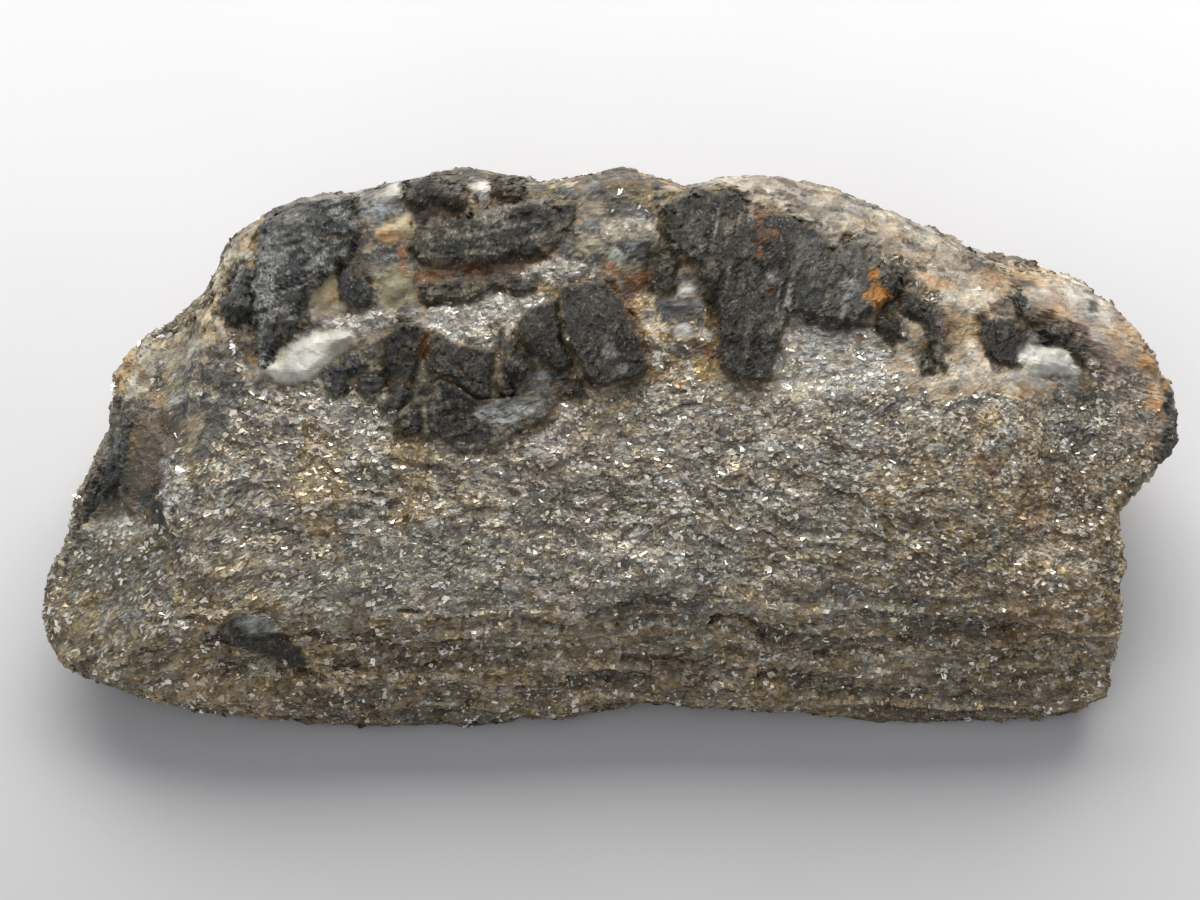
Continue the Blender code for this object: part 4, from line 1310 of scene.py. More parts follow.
class Recipe(NodeBench):
    """A material under construction, with short calls for what the finishes share."""

    BEND_START = -36.0  # the layers fall away past this X, toward the left end
    BEND_Y = 0.55
    BEND_Z = 0.5

    def __init__(self, name: str) -> None:
        """Starts the material, and its place in millimetres."""
        self.material = bpy.data.materials.new(name)
        self.material.use_nodes = True
        super().__init__(self.material.node_tree)
        self.shader = self.nodes["Principled BSDF"].inputs
        place = self.signal("ShaderNodeTexCoord", {}, "Object")
        self.place = self.scaled(place, 1 / MM)

    def finish(self, **inputs: Any) -> bpy.types.Material:
        """The material, with what goes into its shader."""
        for key, given in inputs.items():
            self.set(self.shader[key.replace("_", " ")], given)
        return self.material

    def signal(self, kind: str, inputs: dict[str | int, Any], output: str | int = 0, **settings: Any) -> Signal:
        """What leaves a new node."""
        return Signal(self, self.add(kind, inputs, **settings).outputs[output])

    def math(self, step: Step, a: Any, b: Any) -> Signal:
        """One step of arithmetic on two numbers."""
        return self.signal("ShaderNodeMath", {0: a, 1: b}, operation=step.value)

    def move(self, move: Move, a: Any, b: Any) -> Signal:
        """One step of arithmetic on two places."""
        return self.signal("ShaderNodeVectorMath", {0: a, 1: b}, operation=move.value)

    def scaled(self, place: Signal, by: Any) -> Signal:
        """A place made longer or shorter."""
        return self.signal("ShaderNodeVectorMath", {0: place, "Scale": by}, operation=Move.SCALED.value)

    def mix(self, kind: str, weight: Any, a: Any, b: Any) -> Signal:
        """Two colours mixed."""
        return self.signal("ShaderNodeMix", {0: weight, 6: a, 7: b}, 2, data_type="RGBA", blend_type=kind)

    def attribute(self, name: str, output: str = "Fac") -> Signal:
        """A number or colour kept on the mesh."""
        return self.signal("ShaderNodeAttribute", {}, output, attribute_name=name)

    def flow(self) -> Signal:
        """The place, moved so that layers drawn from it fall away toward the left end."""
        x, y, z = (self.place.axis(n) for n in range(3))
        drop = self.math(Step.LARGER, self.BEND_START - x, 0.0) * self.BEND_Y
        return self.signal("ShaderNodeCombineXYZ", {0: x, 1: y + drop, 2: z + drop * self.BEND_Z})

    def warped(self, place: Signal, amount: float, scale: float) -> Signal:
        """A place moved about by noise, so that nothing drawn from it is straight."""
        stir = self.signal("ShaderNodeTexNoise", {"Vector": place, "Scale": scale, "Detail": 2.0}, "Color")
        return self.move(Move.PLUS, place, self.scaled(stir, amount))

    def mapped(self, scale: Triple, turn: Triple = (0.0, 0.0, 0.0), place: Signal | None = None) -> Signal:
        """A place stretched, and turned by degrees about X, Y and Z."""
        angles = tuple(math.radians(angle) for angle in turn)
        return self.signal("ShaderNodeMapping", {"Vector": place or self.place, "Scale": scale, "Rotation": angles})

    def noise(self, place: Signal, scale: float, detail: float = 3.0, rough: float = 0.55) -> Signal:
        """Soft noise from 0 to 1."""
        inputs = {"Vector": place, "Scale": scale, "Detail": detail, "Roughness": rough}
        return self.signal("ShaderNodeTexNoise", inputs, "Fac")

    def cells(self, place: Signal, scale: float) -> Cells:
        """Cells around scattered seeds."""
        found = self.add("ShaderNodeTexVoronoi", {"Vector": place, "Scale": scale}).outputs
        return Cells(Signal(self, found["Color"]), Signal(self, found["Distance"]))

    def bump(self, height: Signal, distance: float, strength: float, base: Signal | None = None) -> Signal:
        """Relief too fine for the mesh.

        Args:
            height: Its height.
            distance: What a height of 1 stands for, in millimetres.
            strength: How much of it shows.
            base: The normal before it, if there is one.

        Returns:
            The normal.
        """
        inputs = {"Strength": strength, "Distance": distance * MM, "Height": height}
        return self.signal("ShaderNodeBump", inputs | ({"Normal": base} if base else {}))

    def glint(self, cells: Cells, base: Signal, lean: Any) -> Signal:
        """The normal leaned by each cell's own random amount, so that cells catch light one by one."""
        centred = self.move(Move.MINUS, cells.colour, (0.5, 0.5, 0.5))
        added = self.move(Move.PLUS, self.scaled(centred, lean), base)
        return self.signal("ShaderNodeVectorMath", {0: added}, operation=Move.UNIT.value)


@dataclass(frozen=True)
class StoneFinish:
    """Schist and what grows in it: silky strokes of mica, grains, black tourmaline and clear quartz."""

    slope: Triple = (-8.6, -2.9, -4.0)  # how the layers lean, in degrees
    quartz: Colour = (0.72, 0.68, 0.61)
    dark_mica: Colour = (0.045, 0.038, 0.030)
    rust: Colour = (0.20, 0.085, 0.022)
    dust: Colour = (0.14, 0.125, 0.095)
    # the colour of the painted glints on the tourmaline
    painted_glint: Colour = (0.36, 0.34, 0.28)
    cool: Colour = (0.84, 1.0, 1.16)
    warm: Colour = (1.12, 1.0, 0.72)
    rough: float = 0.62
    shiny_rough: float = 0.27
    gloss: float = 0.66  # roughness of crystals and grains against that of the rock
    metal: float = 0.45
    specular: float = 0.45

    def build(self) -> bpy.types.Material:
        """Builds the material."""
        r = Recipe("schist")
        tint = r.attribute("tint", "Color")
        mica, coarse, rust, black, clear = (r.attribute(amount.name.lower()) for amount in Amount)
        flow = r.flow()
        warp = r.warped(flow, 0.5, 1.3)
        plates = r.cells(r.mapped((0.72, 1.3, 1.9), self.slope, warp), 1.8)
        strokes = r.cells(r.mapped((0.7, 1.25, 1.8), self.slope, warp), 3.3)
        grains = r.cells(r.place, 0.95)
        crumb_turn = (0.0, 0.0, math.degrees(0.5))
        crumbs = r.cells(r.mapped((1.2, 0.9, 1.0), crumb_turn, r.warped(r.place, 0.25, 3.0)), 3.6)
        silk = r.noise(r.mapped((0.6, 2.0, 2.8), self.slope, warp), 1.5, 4.0, 0.7)
        wide = r.noise(r.place, 0.35, 4.0)
        hue = r.noise(r.mapped((0.7, 1.4, 1.8), self.slope, flow), 0.55, 4.0, 0.6)
        bare = 1.0 - black
        plain = bare * (1.0 - clear)
        # How light each grain is against its neighbours.
        fine = plates.colour.channel(0).span(0.0, 1.0, 0.66, 1.36)
        fine = fine * strokes.colour.channel(1).span(0.0, 1.0, 0.58, 1.48) * silk.span(0.3, 0.72, 0.74, 1.3)
        milk = r.noise(r.place, 2.2, 5.0, 0.7).span(0.3, 0.7, 0.72, 1.28)
        pebble = grains.colour.channel(2).span(0.0, 1.0, 0.86, 1.14) * milk
        shade = fine.grey().toward(pebble.grey(), coarse)
        shade = shade.toward(r.noise(r.place, 1.1, 4.0, 0.6).span(0.3, 0.7, 0.8, 1.15).grey(), clear)
        grit = r.noise(r.mapped((1.3, 1.0, 1.0)), 5.5, 3.0, 0.7).span(0.34, 0.68, 0.4, 1.7)
        crumb = crumbs.colour.channel(0).span(0.0, 1.0, 0.5, 1.75) * grit
        colour = tint.times(shade.toward(crumb.grey(), black))
        colour = colour.times(wide.span(0.3, 0.7, 0.78, 1.2).grey())
        # Layers lean to blue grey, to rose and to olive.
        colour = colour.toward(colour.times(self.cool), hue.span(0.5, 0.62) * mica * 0.75)
        colour = colour.toward(colour.times(self.warm), hue.span(0.48, 0.34) * bare * 0.6)
        # Clear quartz grains, dark mica grains and rust in the seams.
        cluster = r.noise(r.place, 0.55, 3.0, 0.6).span(0.42, 0.62)
        white = strokes.colour.channel(0).above(cluster.span(0.0, 1.0, 0.96, 0.88))
        white = white * cluster.span(0.0, 1.0, 0.35, 0.85) * mica.span(0.1, 0.8, 0.15, 1.0)
        colour = colour.toward(self.quartz, white * plain)
        dark = plates.colour.channel(1).above(0.86) * mica.span(0.0, 1.0, 0.25, 0.6)
        colour = colour.toward(self.dark_mica, dark * plain)
        stain = r.noise(r.place, 0.8, 4.0, 0.65).span(0.56, 0.68) * rust.span(0.0, 0.8, 0.2, 0.9)
        colour = colour.toward(self.rust, stain * black.span(0.0, 1.0, 1.0, 0.4))
        # Dust, and tiny painted glints on the tourmaline.
        dust = r.noise(r.mapped((2.2, 0.8, 1.0)), 2.4, 6.0, 0.8).span(0.5, 0.68)
        colour = colour.toward(self.dust, dust * black * 0.36)
        glint_turn = (0.0, 0.0, math.degrees(0.4))
        glint_cells = r.cells(r.mapped((1.5, 0.9, 1.0), glint_turn, r.warped(r.place, 0.4, 2.5)), 5.2)
        painted_glint = glint_cells.colour.channel(2).above(0.955) * black * wide.span(0.42, 0.6, 0.05, 0.6)
        colour = colour.toward(self.painted_glint, painted_glint)
        # Fine relief, and grains that catch the light one by one.
        height = plates.distance + strokes.distance * 0.5 + silk * 1.6
        silky = plain * (1.0 - coarse * 0.7)
        normal = r.bump(height * silky, 0.16, 0.65)
        normal = r.bump(r.noise(r.place, 3.8, 4.0, 0.65), 0.14, 0.5, normal)
        normal = r.bump(r.noise(r.mapped((1.2, 1.0, 1.0)), 2.6, 5.0, 0.75) * black, 0.5, 0.8, normal)
        normal = r.glint(strokes, normal, mica * plain)
        normal = r.glint(grains, normal, (1.0 - silky) * 0.12)
        normal = r.glint(crumbs, normal, black * 0.6)
        shiny = strokes.colour.channel(2).above(0.5) * mica
        rough = shiny.span(0.0, 1.0, self.rough, self.shiny_rough)
        rough = rough * r.math(Step.LARGER, black, clear).span(0.0, 1.0, 1.0, self.gloss)
        return r.finish(Base_Color=colour, Normal=normal, Roughness=rough, Metallic=shiny * self.metal,
                        Specular_IOR_Level=self.specular)


@dataclass(frozen=True)
class MicaFinish:
    """Mica plates: silver to bronze, some clear and bright, some dark; the brightest carry a painted highlight."""

    silver: Colour = (0.84, 0.80, 0.73)
    honey: Colour = (1.13, 0.98, 0.68)
    steel: Colour = (0.96, 1.0, 1.06)
    rough: float = 0.45
    shiny_rough: float = 0.17
    metal: float = 0.35
    specular: float = 0.6

    def build(self) -> bpy.types.Material:
        """Builds the material."""
        r = Recipe("mica")
        shade = r.attribute("shade")
        own = r.attribute("tint", "Color").times(shade.span(0.0, 1.0, 0.5, 1.6).grey())
        # Painted highlight: plates in clusters move toward near-white silver, as if they caught the light together;
        # others lean to honey or steel.
        cluster = r.noise(r.place, 0.4, 3.0, 0.6).span(0.4, 0.62)
        colour = own.toward(self.silver, shade.above(cluster.span(0.0, 1.0, 0.93, 0.76)) * 0.85)
        hue = r.noise(r.place, 0.9, 3.0, 0.6)
        colour = colour.toward(colour.times(self.honey), hue.span(0.52, 0.64, 0.0, 0.7))
        colour = colour.toward(colour.times(self.steel), hue.span(0.46, 0.36, 0.0, 0.7))
        rough = shade.span(0.0, 1.0, self.rough, self.shiny_rough)
        normal = r.bump(r.noise(r.place, 5.0, 2.0), 0.05, 0.35)
        return r.finish(Base_Color=colour, Normal=normal, Roughness=rough, Metallic=self.metal,
                        Specular_IOR_Level=self.specular)


@dataclass(frozen=True)
class FloorFinish:
    """Plain pale floor, a little lighter toward the back and the right: painted light and shade for the falloff of
    the lamps.
    """

    white: Colour = (1.0, 0.995, 1.01)
    rough: float = 0.8

    def build(self) -> bpy.types.Material:
        """Builds the material."""
        r = Recipe("floor")
        back = r.place.axis(1)
        # Painted light and shade: the floor's colour darkens toward the front and lightens toward the back and the
        # right.
        painted_floor_light = back.span(-50.0, -10.0, 0.50, 0.60) + back.span(-10.0, 80.0, 0.0, 0.13)
        painted_floor_light = painted_floor_light * r.noise(r.place, 0.02, 2.0).span(0.3, 0.7, 0.98, 1.02)
        painted_floor_light = painted_floor_light * r.place.axis(0).span(20.0, 90.0, 1.0, 1.07)
        return r.finish(Base_Color=r.mix("MULTIPLY", 1.0, self.white, painted_floor_light.grey()), Roughness=self.rough)


# ---------------- meshes


def keep_values(mesh: bpy.types.Mesh, values: dict[str, Array]) -> None:
    """Puts each named array on the mesh's points, as a number or a colour."""
    for key, array in values.items():
        if array.ndim == 2:
            layer = mesh.attributes.new(key, "FLOAT_COLOR", "POINT")
            full = np.ones((len(array), 4))
            full[:, RGB] = array
            layer.data.foreach_set("color", full.ravel())
        else:
            layer = mesh.attributes.new(key, "FLOAT", "POINT")
            layer.data.foreach_set("value", array.astype(float))


def to_object(name: str, points: Array, faces: list[list[int]], values: dict[str, Array]) -> bpy.types.Object:
    """Makes a mesh object in the frame.

    Args:
        name: Its name.
        points: Its points, in millimetres.
        faces: The points of each face.
        values: Numbers and colours to keep on its points.

    Returns:
        The object.
    """
    mesh = bpy.data.meshes.new(name)
    mesh.from_pydata(((points + SHIFT) * MM).tolist(), [], faces)
    keep_values(mesh, values)
    made = bpy.data.objects.new(name, mesh)
    bpy.context.scene.collection.objects.link(made)
    log.info("%s: %d faces", name, len(faces))
    return made


def dress(piece: bpy.types.Object, finish: bpy.types.Material) -> None:
    """Gives a piece its finish and ties it to the stone's body."""
    if not piece.data.materials:
        piece.data.materials.append(finish)
    for face in piece.data.polygons:
        face.use_smooth = False
    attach(piece, "root")


OUTSIDE = -99.0  # T of a point on another side of the box


class End(Enum):
    """Which end of the box a skin lies on, if any."""

    NONE = 0
    LEFT = -1
    RIGHT = 1


@dataclass(frozen=True)
class Skin:
    """A finer surface over part of the stone, as an area of the box that its points are sent out from.

    Its two directions are X, and T up the front, over the top and down the back. On an end of the box they lie
    across it and up it. Its columns of points may stand closer together toward its sides.
    """

    name: str
    x_low: float
    x_high: float
    t_low: float
    t_high: float
    cell: float
    rise: float
    closer: float = 0.0
    end: End = End.NONE

    @property
    def middle(self) -> float:
        """Halfway across."""
        return (self.x_low + self.x_high) / 2

    def inside(self, x: Array, t: Array) -> Array:
        """How far inside the area a place is, in millimetres."""
        return np.minimum.reduce((x - self.x_low, self.x_high - x, t - self.t_low, self.t_high - t))

    def place(self, lattice: Array) -> tuple[Array, Array]:
        """Where points of the box lie in the skin's own two directions."""
        length, depth, high = BOX
        x, y, z = lattice.T
        side = self.end.value
        if side:
            return side * y, np.where(np.isclose(x, side * length / 2), z, OUTSIDE)
        t = np.full(len(lattice), OUTSIDE)
        t = np.where(np.isclose(y, -depth / 2), z + high / 2, t)
        t = np.where(np.isclose(y, depth / 2), high + depth + (high / 2 - z), t)
        t = np.where(np.isclose(z, high / 2), high + y + depth / 2, t)
        return x, t

    def on_box(self, x: Array, t: Array) -> Array:
        """Points of the box from places in the skin's own two directions."""
        length, depth, high = BOX
        side = self.end.value
        if side:
            return np.stack([np.full(len(x), side * length / 2), side * x, t], axis=1)
        y = np.clip(t - high, 0, depth) - depth / 2
        z = np.where(t < high, t, np.where(t > high + depth, 2 * high + depth - t, high)) - high / 2
        return np.stack([x, y, z], axis=1)

    def grid(self) -> tuple[Array, Array, Array]:
        """X and T of its points, and the number of each point in its rows and columns."""
        way = np.linspace(-1, 1, int((self.x_high - self.x_low) / self.cell) + 1)
        spread = (1 - self.closer) * way + self.closer * np.sin(way * math.pi / 2)
        xs = self.middle + (self.x_high - self.x_low) / 2 * spread
        ts = np.linspace(self.t_low, self.t_high, int((self.t_high - self.t_low) / self.rise) + 1)
        x, t = (grid.ravel() for grid in np.meshgrid(xs, ts, indexing="ij"))
        return x, t, np.arange(len(x)).reshape(len(xs), len(ts))


def foliation(points: Array) -> Array:
    """Height through the layers of the schist, which bend down at the left end."""
    bend = np.clip(-36 - points[:, 0], 0, 30)
    return points @ LAYER_NORMAL + 0.012 * bend**2


@dataclass(frozen=True)
class Layers:
    """One thickness of layer in the schist: its height, its share of the relief, and how wide its waves are."""

    thick: float
    share: float
    wave: float
    salt: int


class Ground(Enum):
    """What a stretch of mica lies on, in the order in which the pieces are built."""

    BODY = "schist_body"
    FACE = "glitter_face"
    VEIN = "crystal_vein"
    LEFT_END = "left_end"
    RIGHT_END = "right_end"


@dataclass(frozen=True)
class SchistStone:
    """The schist and the finer skins on it, with ledges, chips and crystals down to a fraction of a millimetre."""

    form: StoneForm
    growth: Growth
    colouring: Colouring
    skins: tuple[Skin, ...]
    cell: float = 0.5
    layers: tuple[Layers, ...] = (
        Layers(1.25, 0.5, 7.0, 101), Layers(0.5, 0.7, 3.0, 105), Layers(0.25, 0.45, 1.6, 109)
    )
    uneven: Noise = Noise(8, 99, 3)
    chips: Chips = Chips(1.5, 151, 0.45, 0.35)
    splinters: Chips = Chips((1.25, 0.6, 0.6), 161, 0.45, 0.4)
    grit: Noise = Noise(0.8, 171, 2)
    lumps: Noise = Noise(3.0, 175, 2)
    swells: Noise = Noise((6, 3.2, 3), 181, 2)
    rim_chips: Chips = Chips(1.5, 191, 0.6, 0.75)
    rim_crumbs: Chips = Chips(0.8, 195, 0.5, 0.6)
    underside: Noise = Noise(4, 95, 3)
    step: float = 0.32  # how steep the steps are where layers lie flat
    lumpiness: float = 0.22
    swell: float = 0.3
    raggedness: float = 0.33
    gap_depth: float = 0.2  # of the gap around a crystal, at least
    gap_more: float = 0.55  # and how much more at most
    hollow_shade: float = 1.1  # how much painted shade darkens hollows and painted light lightens raised parts
    under_skin: float = 0.5  # how deep the body lies under a skin
    skin_edge: float = 0.8  # how deep the edges of a skin go
    hollow: float = 0.9  # the back of a skin, as a share of the way out to it
    end_heart: float = 25.0
    floor: float = 0.03
    skin_floor: float = 0.04

    def shaped(self, lattice: Array, quads: Array) -> tuple[Array, Array, Array]:
        """Sends points out to the stone's surface and gives them its relief and detail.

        Args:
            lattice: Points on the box.
            quads: The faces between them.

        Returns:
            The points on the stone, the way out at each, and their painted rows.
        """
        ways = lattice / np.linalg.norm(lattice, axis=1)[:, None]
        points = CENTRE + ways * self.form.reach(CENTRE, ways)[:, None]
        normals = normals_of(points, quads)
        rims = outline_distance(RIM, points @ AXIS_U, points @ AXIS_V)
        lifts = [self.form.relief(Vector(p), Vector(n), r) for p, n, r in zip(points, normals, rims)]
        points = points + normals * np.array(lifts)[:, None]
        normals = smoothed(normals_of(points, quads), quads, 3)
        normals /= np.linalg.norm(normals, axis=1)[:, None]
        grown = self.growth.at(points, normals)
        rows = self.colouring.paint(points, normals, grown)
        gaps = self.gap_depth + self.gap_more * ramp(HALO_NOISE.at(points), 0.0, 0.7)
        sunk = grown.lift - gaps * grown.halo * (1 - np.maximum(grown.black, grown.clear))
        detail = self.detail(points, normals, rows, rims)
        # Painted shade in the hollows of the small relief, and painted light on its raised parts.
        rows[:, RGB] *= np.clip(1 + self.hollow_shade * (detail - detail.mean()), 0.5, 1.35)[:, None]
        points = points + normals * detail[:, None] + np.outer(sunk, AXIS_W)
        return points, normals, rows

    def detail(self, points: Array, normals: Array, rows: Array, rims: Array) -> Array:
        """Small relief: layers that end in steps, thin ledges where they are cut across, chips and grains.

        Args:
            points: Places on the stone.
            normals: The way out at each.
            rows: Their painted rows.
            rims: How far they are from the rim, negative inside.

        Returns:
            How far each point moves along its normal.
        """
        u, v = points @ AXIS_U, points @ AXIS_V
        coarse = rows[:, Amount.COARSE]
        plain = 1 - np.maximum(rows[:, Amount.BLACK], rows[:, Amount.CLEAR])
        flush = np.abs(normals @ LAYER_NORMAL)
        steep = ramp(1 - flush**2 + 0.2 * self.uneven.at(points), 0.25, 0.7)  # where layers are cut across
        along = foliation(points)
        total = np.zeros(len(points))
        for kind in self.layers:
            fine = Noise(0.4 * kind.wave, kind.salt + 1)
            wave = (0.9 * Noise(kind.wave, kind.salt).at(points) + 0.4 * fine.at(points)) * kind.thick
            level = (along + 1.4 * wave) / kind.thick
            layer = np.floor(level)
            gap = ramp(level - layer, 0.0, 0.9)
            total += self.step * kind.share * (1 - steep) * (1 - 0.8 * coarse) * kind.thick * (0.5 - gap)
            start = 9 * Grain.scatter(np.stack([layer, layer * 0, layer * 0], axis=1), kind.salt + 3)
            cut = np.stack([(u + 1.5 * wave) / (9 + 0.4 * start) + start, v / 15 + start, layer], axis=1)
            ledge = 2 * Grain.scatter(np.floor(cut), kind.salt + 2) - 1
            total += kind.share * steep * kind.thick * (0.85 - 0.5 * coarse) * ledge
        chips, splinters = self.chips.at(points), self.splinters.at(points)
        total += (0.09 + 0.03 * coarse) * chips + (0.09 - 0.04 * coarse) * splinters + 0.05 * self.grit.at(points)
        total += self.lumpiness * coarse * self.lumps.at(points)
        total += self.swell * (1 - coarse) * self.swells.at(np.stack([u, v, along], axis=1))
        ragged = ramp(rims, -3.5, -0.4) * (0.4 + 0.6 * ramp(np.abs(u), 32, 46))
        broken = self.rim_chips.at(points) + 0.5 * self.rim_crumbs.at(points)
        return total * plain * (0.45 + 0.55 * ramp(-rims, 0.2, 2.0)) + self.raggedness * ragged * broken

    @staticmethod
    def kept(rows: Array, covered: Array) -> dict[str, Array]:
        """Painted rows as the values that the finishes and the mica read."""
        amounts = {amount.name.lower(): rows[:, amount] for amount in Amount}
        return {"tint": rows[:, RGB], **amounts, "covered": covered}

    def body(self) -> bpy.types.Object:
        """Builds the whole stone, a little sunk where a skin covers it."""
        lattice, quads = box_lattice(BOX, self.cell)
        points, normals, rows = self.shaped(lattice, quads)
        covered = np.maximum.reduce([ramp(skin.inside(*skin.place(lattice)), 1.6, 3.2) for skin in self.skins])
        points = points - normals * (self.under_skin * covered)[:, None]
        points[:, 2] = np.maximum(points[:, 2], self.floor + 0.35 * np.abs(self.underside.at(points)))
        return to_object("schist_body", points, quads.tolist(), self.kept(rows, covered))

    def skin(self, skin: Skin) -> bpy.types.Object:
        """Builds a skin, closed behind, its edges sunk into the stone."""
        x, t, index = skin.grid()
        quads = np.stack([index[:-1, :-1], index[1:, :-1], index[1:, 1:], index[:-1, 1:]], axis=-1).reshape(-1, 4)
        points, normals, rows = self.shaped(skin.on_box(x, t), quads)
        sunk = self.skin_edge * (1 - ramp(skin.inside(x, t), 0.0, 1.5))
        points = points - normals * sunk[:, None]
        points[:, 2] = np.maximum(points[:, 2], self.skin_floor)
        ring = np.concatenate([index[:, 0], index[-1, 1:], index[-2::-1, -1], index[0, -2:0:-1]])
        heart = CENTRE + np.array((skin.end.value * self.end_heart or skin.middle, 0, 0))
        inner = heart + (points[ring] - heart) * self.hollow
        here, last = len(points) + np.arange(len(ring)), len(points) + len(ring)
        after = np.roll(np.arange(len(ring)), -1)
        walls = np.stack([ring[after], ring, here, here[after]], axis=1)
        fan = np.stack([here[after], here, np.full(len(ring), last)], axis=1)
        rows = np.concatenate([rows, rows[ring], rows[ring[:1]]])
        covered = np.concatenate([sunk > 0.3, np.ones(len(ring) + 1, bool)]).astype(float)
        faces = quads.tolist() + walls.tolist() + fan.tolist()
        return to_object(skin.name, np.concatenate([points, inner, [heart]]), faces, self.kept(rows, covered))

    def build(self, finish: bpy.types.Material) -> dict[Ground, bpy.types.Object]:
        """Builds and dresses the body and its skins.

        Args:
            finish: The finish of the stone.

        Returns:
            Each of them by the ground that it gives the mica.
        """
        body = self.body()
        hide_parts(NODE)
        pieces = [body] + [self.skin(skin) for skin in self.skins]
        for piece in pieces:
            dress(piece, finish)
        return dict(zip(Ground, pieces))


# ---------------- mica flakes


@dataclass(frozen=True)
class Sowing:
    """Mica over one stretch of a ground, from one place to another along the stone."""

    name: str
    ground: Ground
    density: float
    low: float = -70
    high: float = 70
    largest: float = 0.00115
    lowest: float = 0.7  # no plate is nearer the floor
    clusters: Noise = Noise(4.5, 701, 3)
    tufts: Noise = Noise(1.2, 705)

    def share(self, ground: bpy.types.Object) -> Array:
        """How thickly plates of mica lie on each point of the ground."""
        mesh = ground.data
        points = mesh_values(mesh.vertices, "co", 3) / MM - SHIFT
        mica, black, clear, covered = (
            mesh_values(mesh.attributes[name].data, "value", 1) for name in ("mica", "black", "clear", "covered")
        )
        share = ramp(mica, 0.12, 0.85) * (1 - black) * (1 - clear)
        cluster = ramp(self.clusters.at(points) + 0.5 * self.tufts.at(points), -0.6, 0.9)
        within = (points[:, 0] > self.low) & (points[:, 0] <= self.high) & (points[:, 2] > self.lowest)
        return share * (0.35 + 0.9 * cluster) * within * (covered < 0.5)


def mesh_values(data: Any, key: str, width: int) -> Array:
    """Numbers kept on a mesh, with one row for each point where there are several."""
    found = np.empty(len(data) * width)
    data.foreach_get(key, found)
    return found.reshape(-1, width) if width > 1 else found


@dataclass(frozen=True)
class FlakeShape:
    """A small plate of mica: a flat top with uneven sides that meet below it."""

    sides: int
    salt: int
    length: float = 1.08
    width: float = 0.82
    depth: float = 0.25

    def build(self) -> bpy.types.Object:
        """Builds the plate, one unit across, kept out of the scene."""
        rng = np.random.default_rng(self.salt)
        turns = (np.arange(self.sides) + rng.uniform(-0.25, 0.25, self.sides)) * 2 * math.pi / self.sides
        reach = rng.uniform(0.36, 0.55, self.sides)
        points = [(math.cos(t) * r * self.length, math.sin(t) * r * self.width, 0.0) for t, r in zip(turns, reach)]
        points.append((0.0, 0.0, -self.depth))
        faces = [tuple(range(self.sides))]
        faces += [((n + 1) % self.sides, n, self.sides) for n in range(self.sides)]
        mesh = bpy.data.meshes.new(f"flake_{self.salt}")
        mesh.from_pydata(points, [], faces)
        return bpy.data.objects.new(mesh.name, mesh)


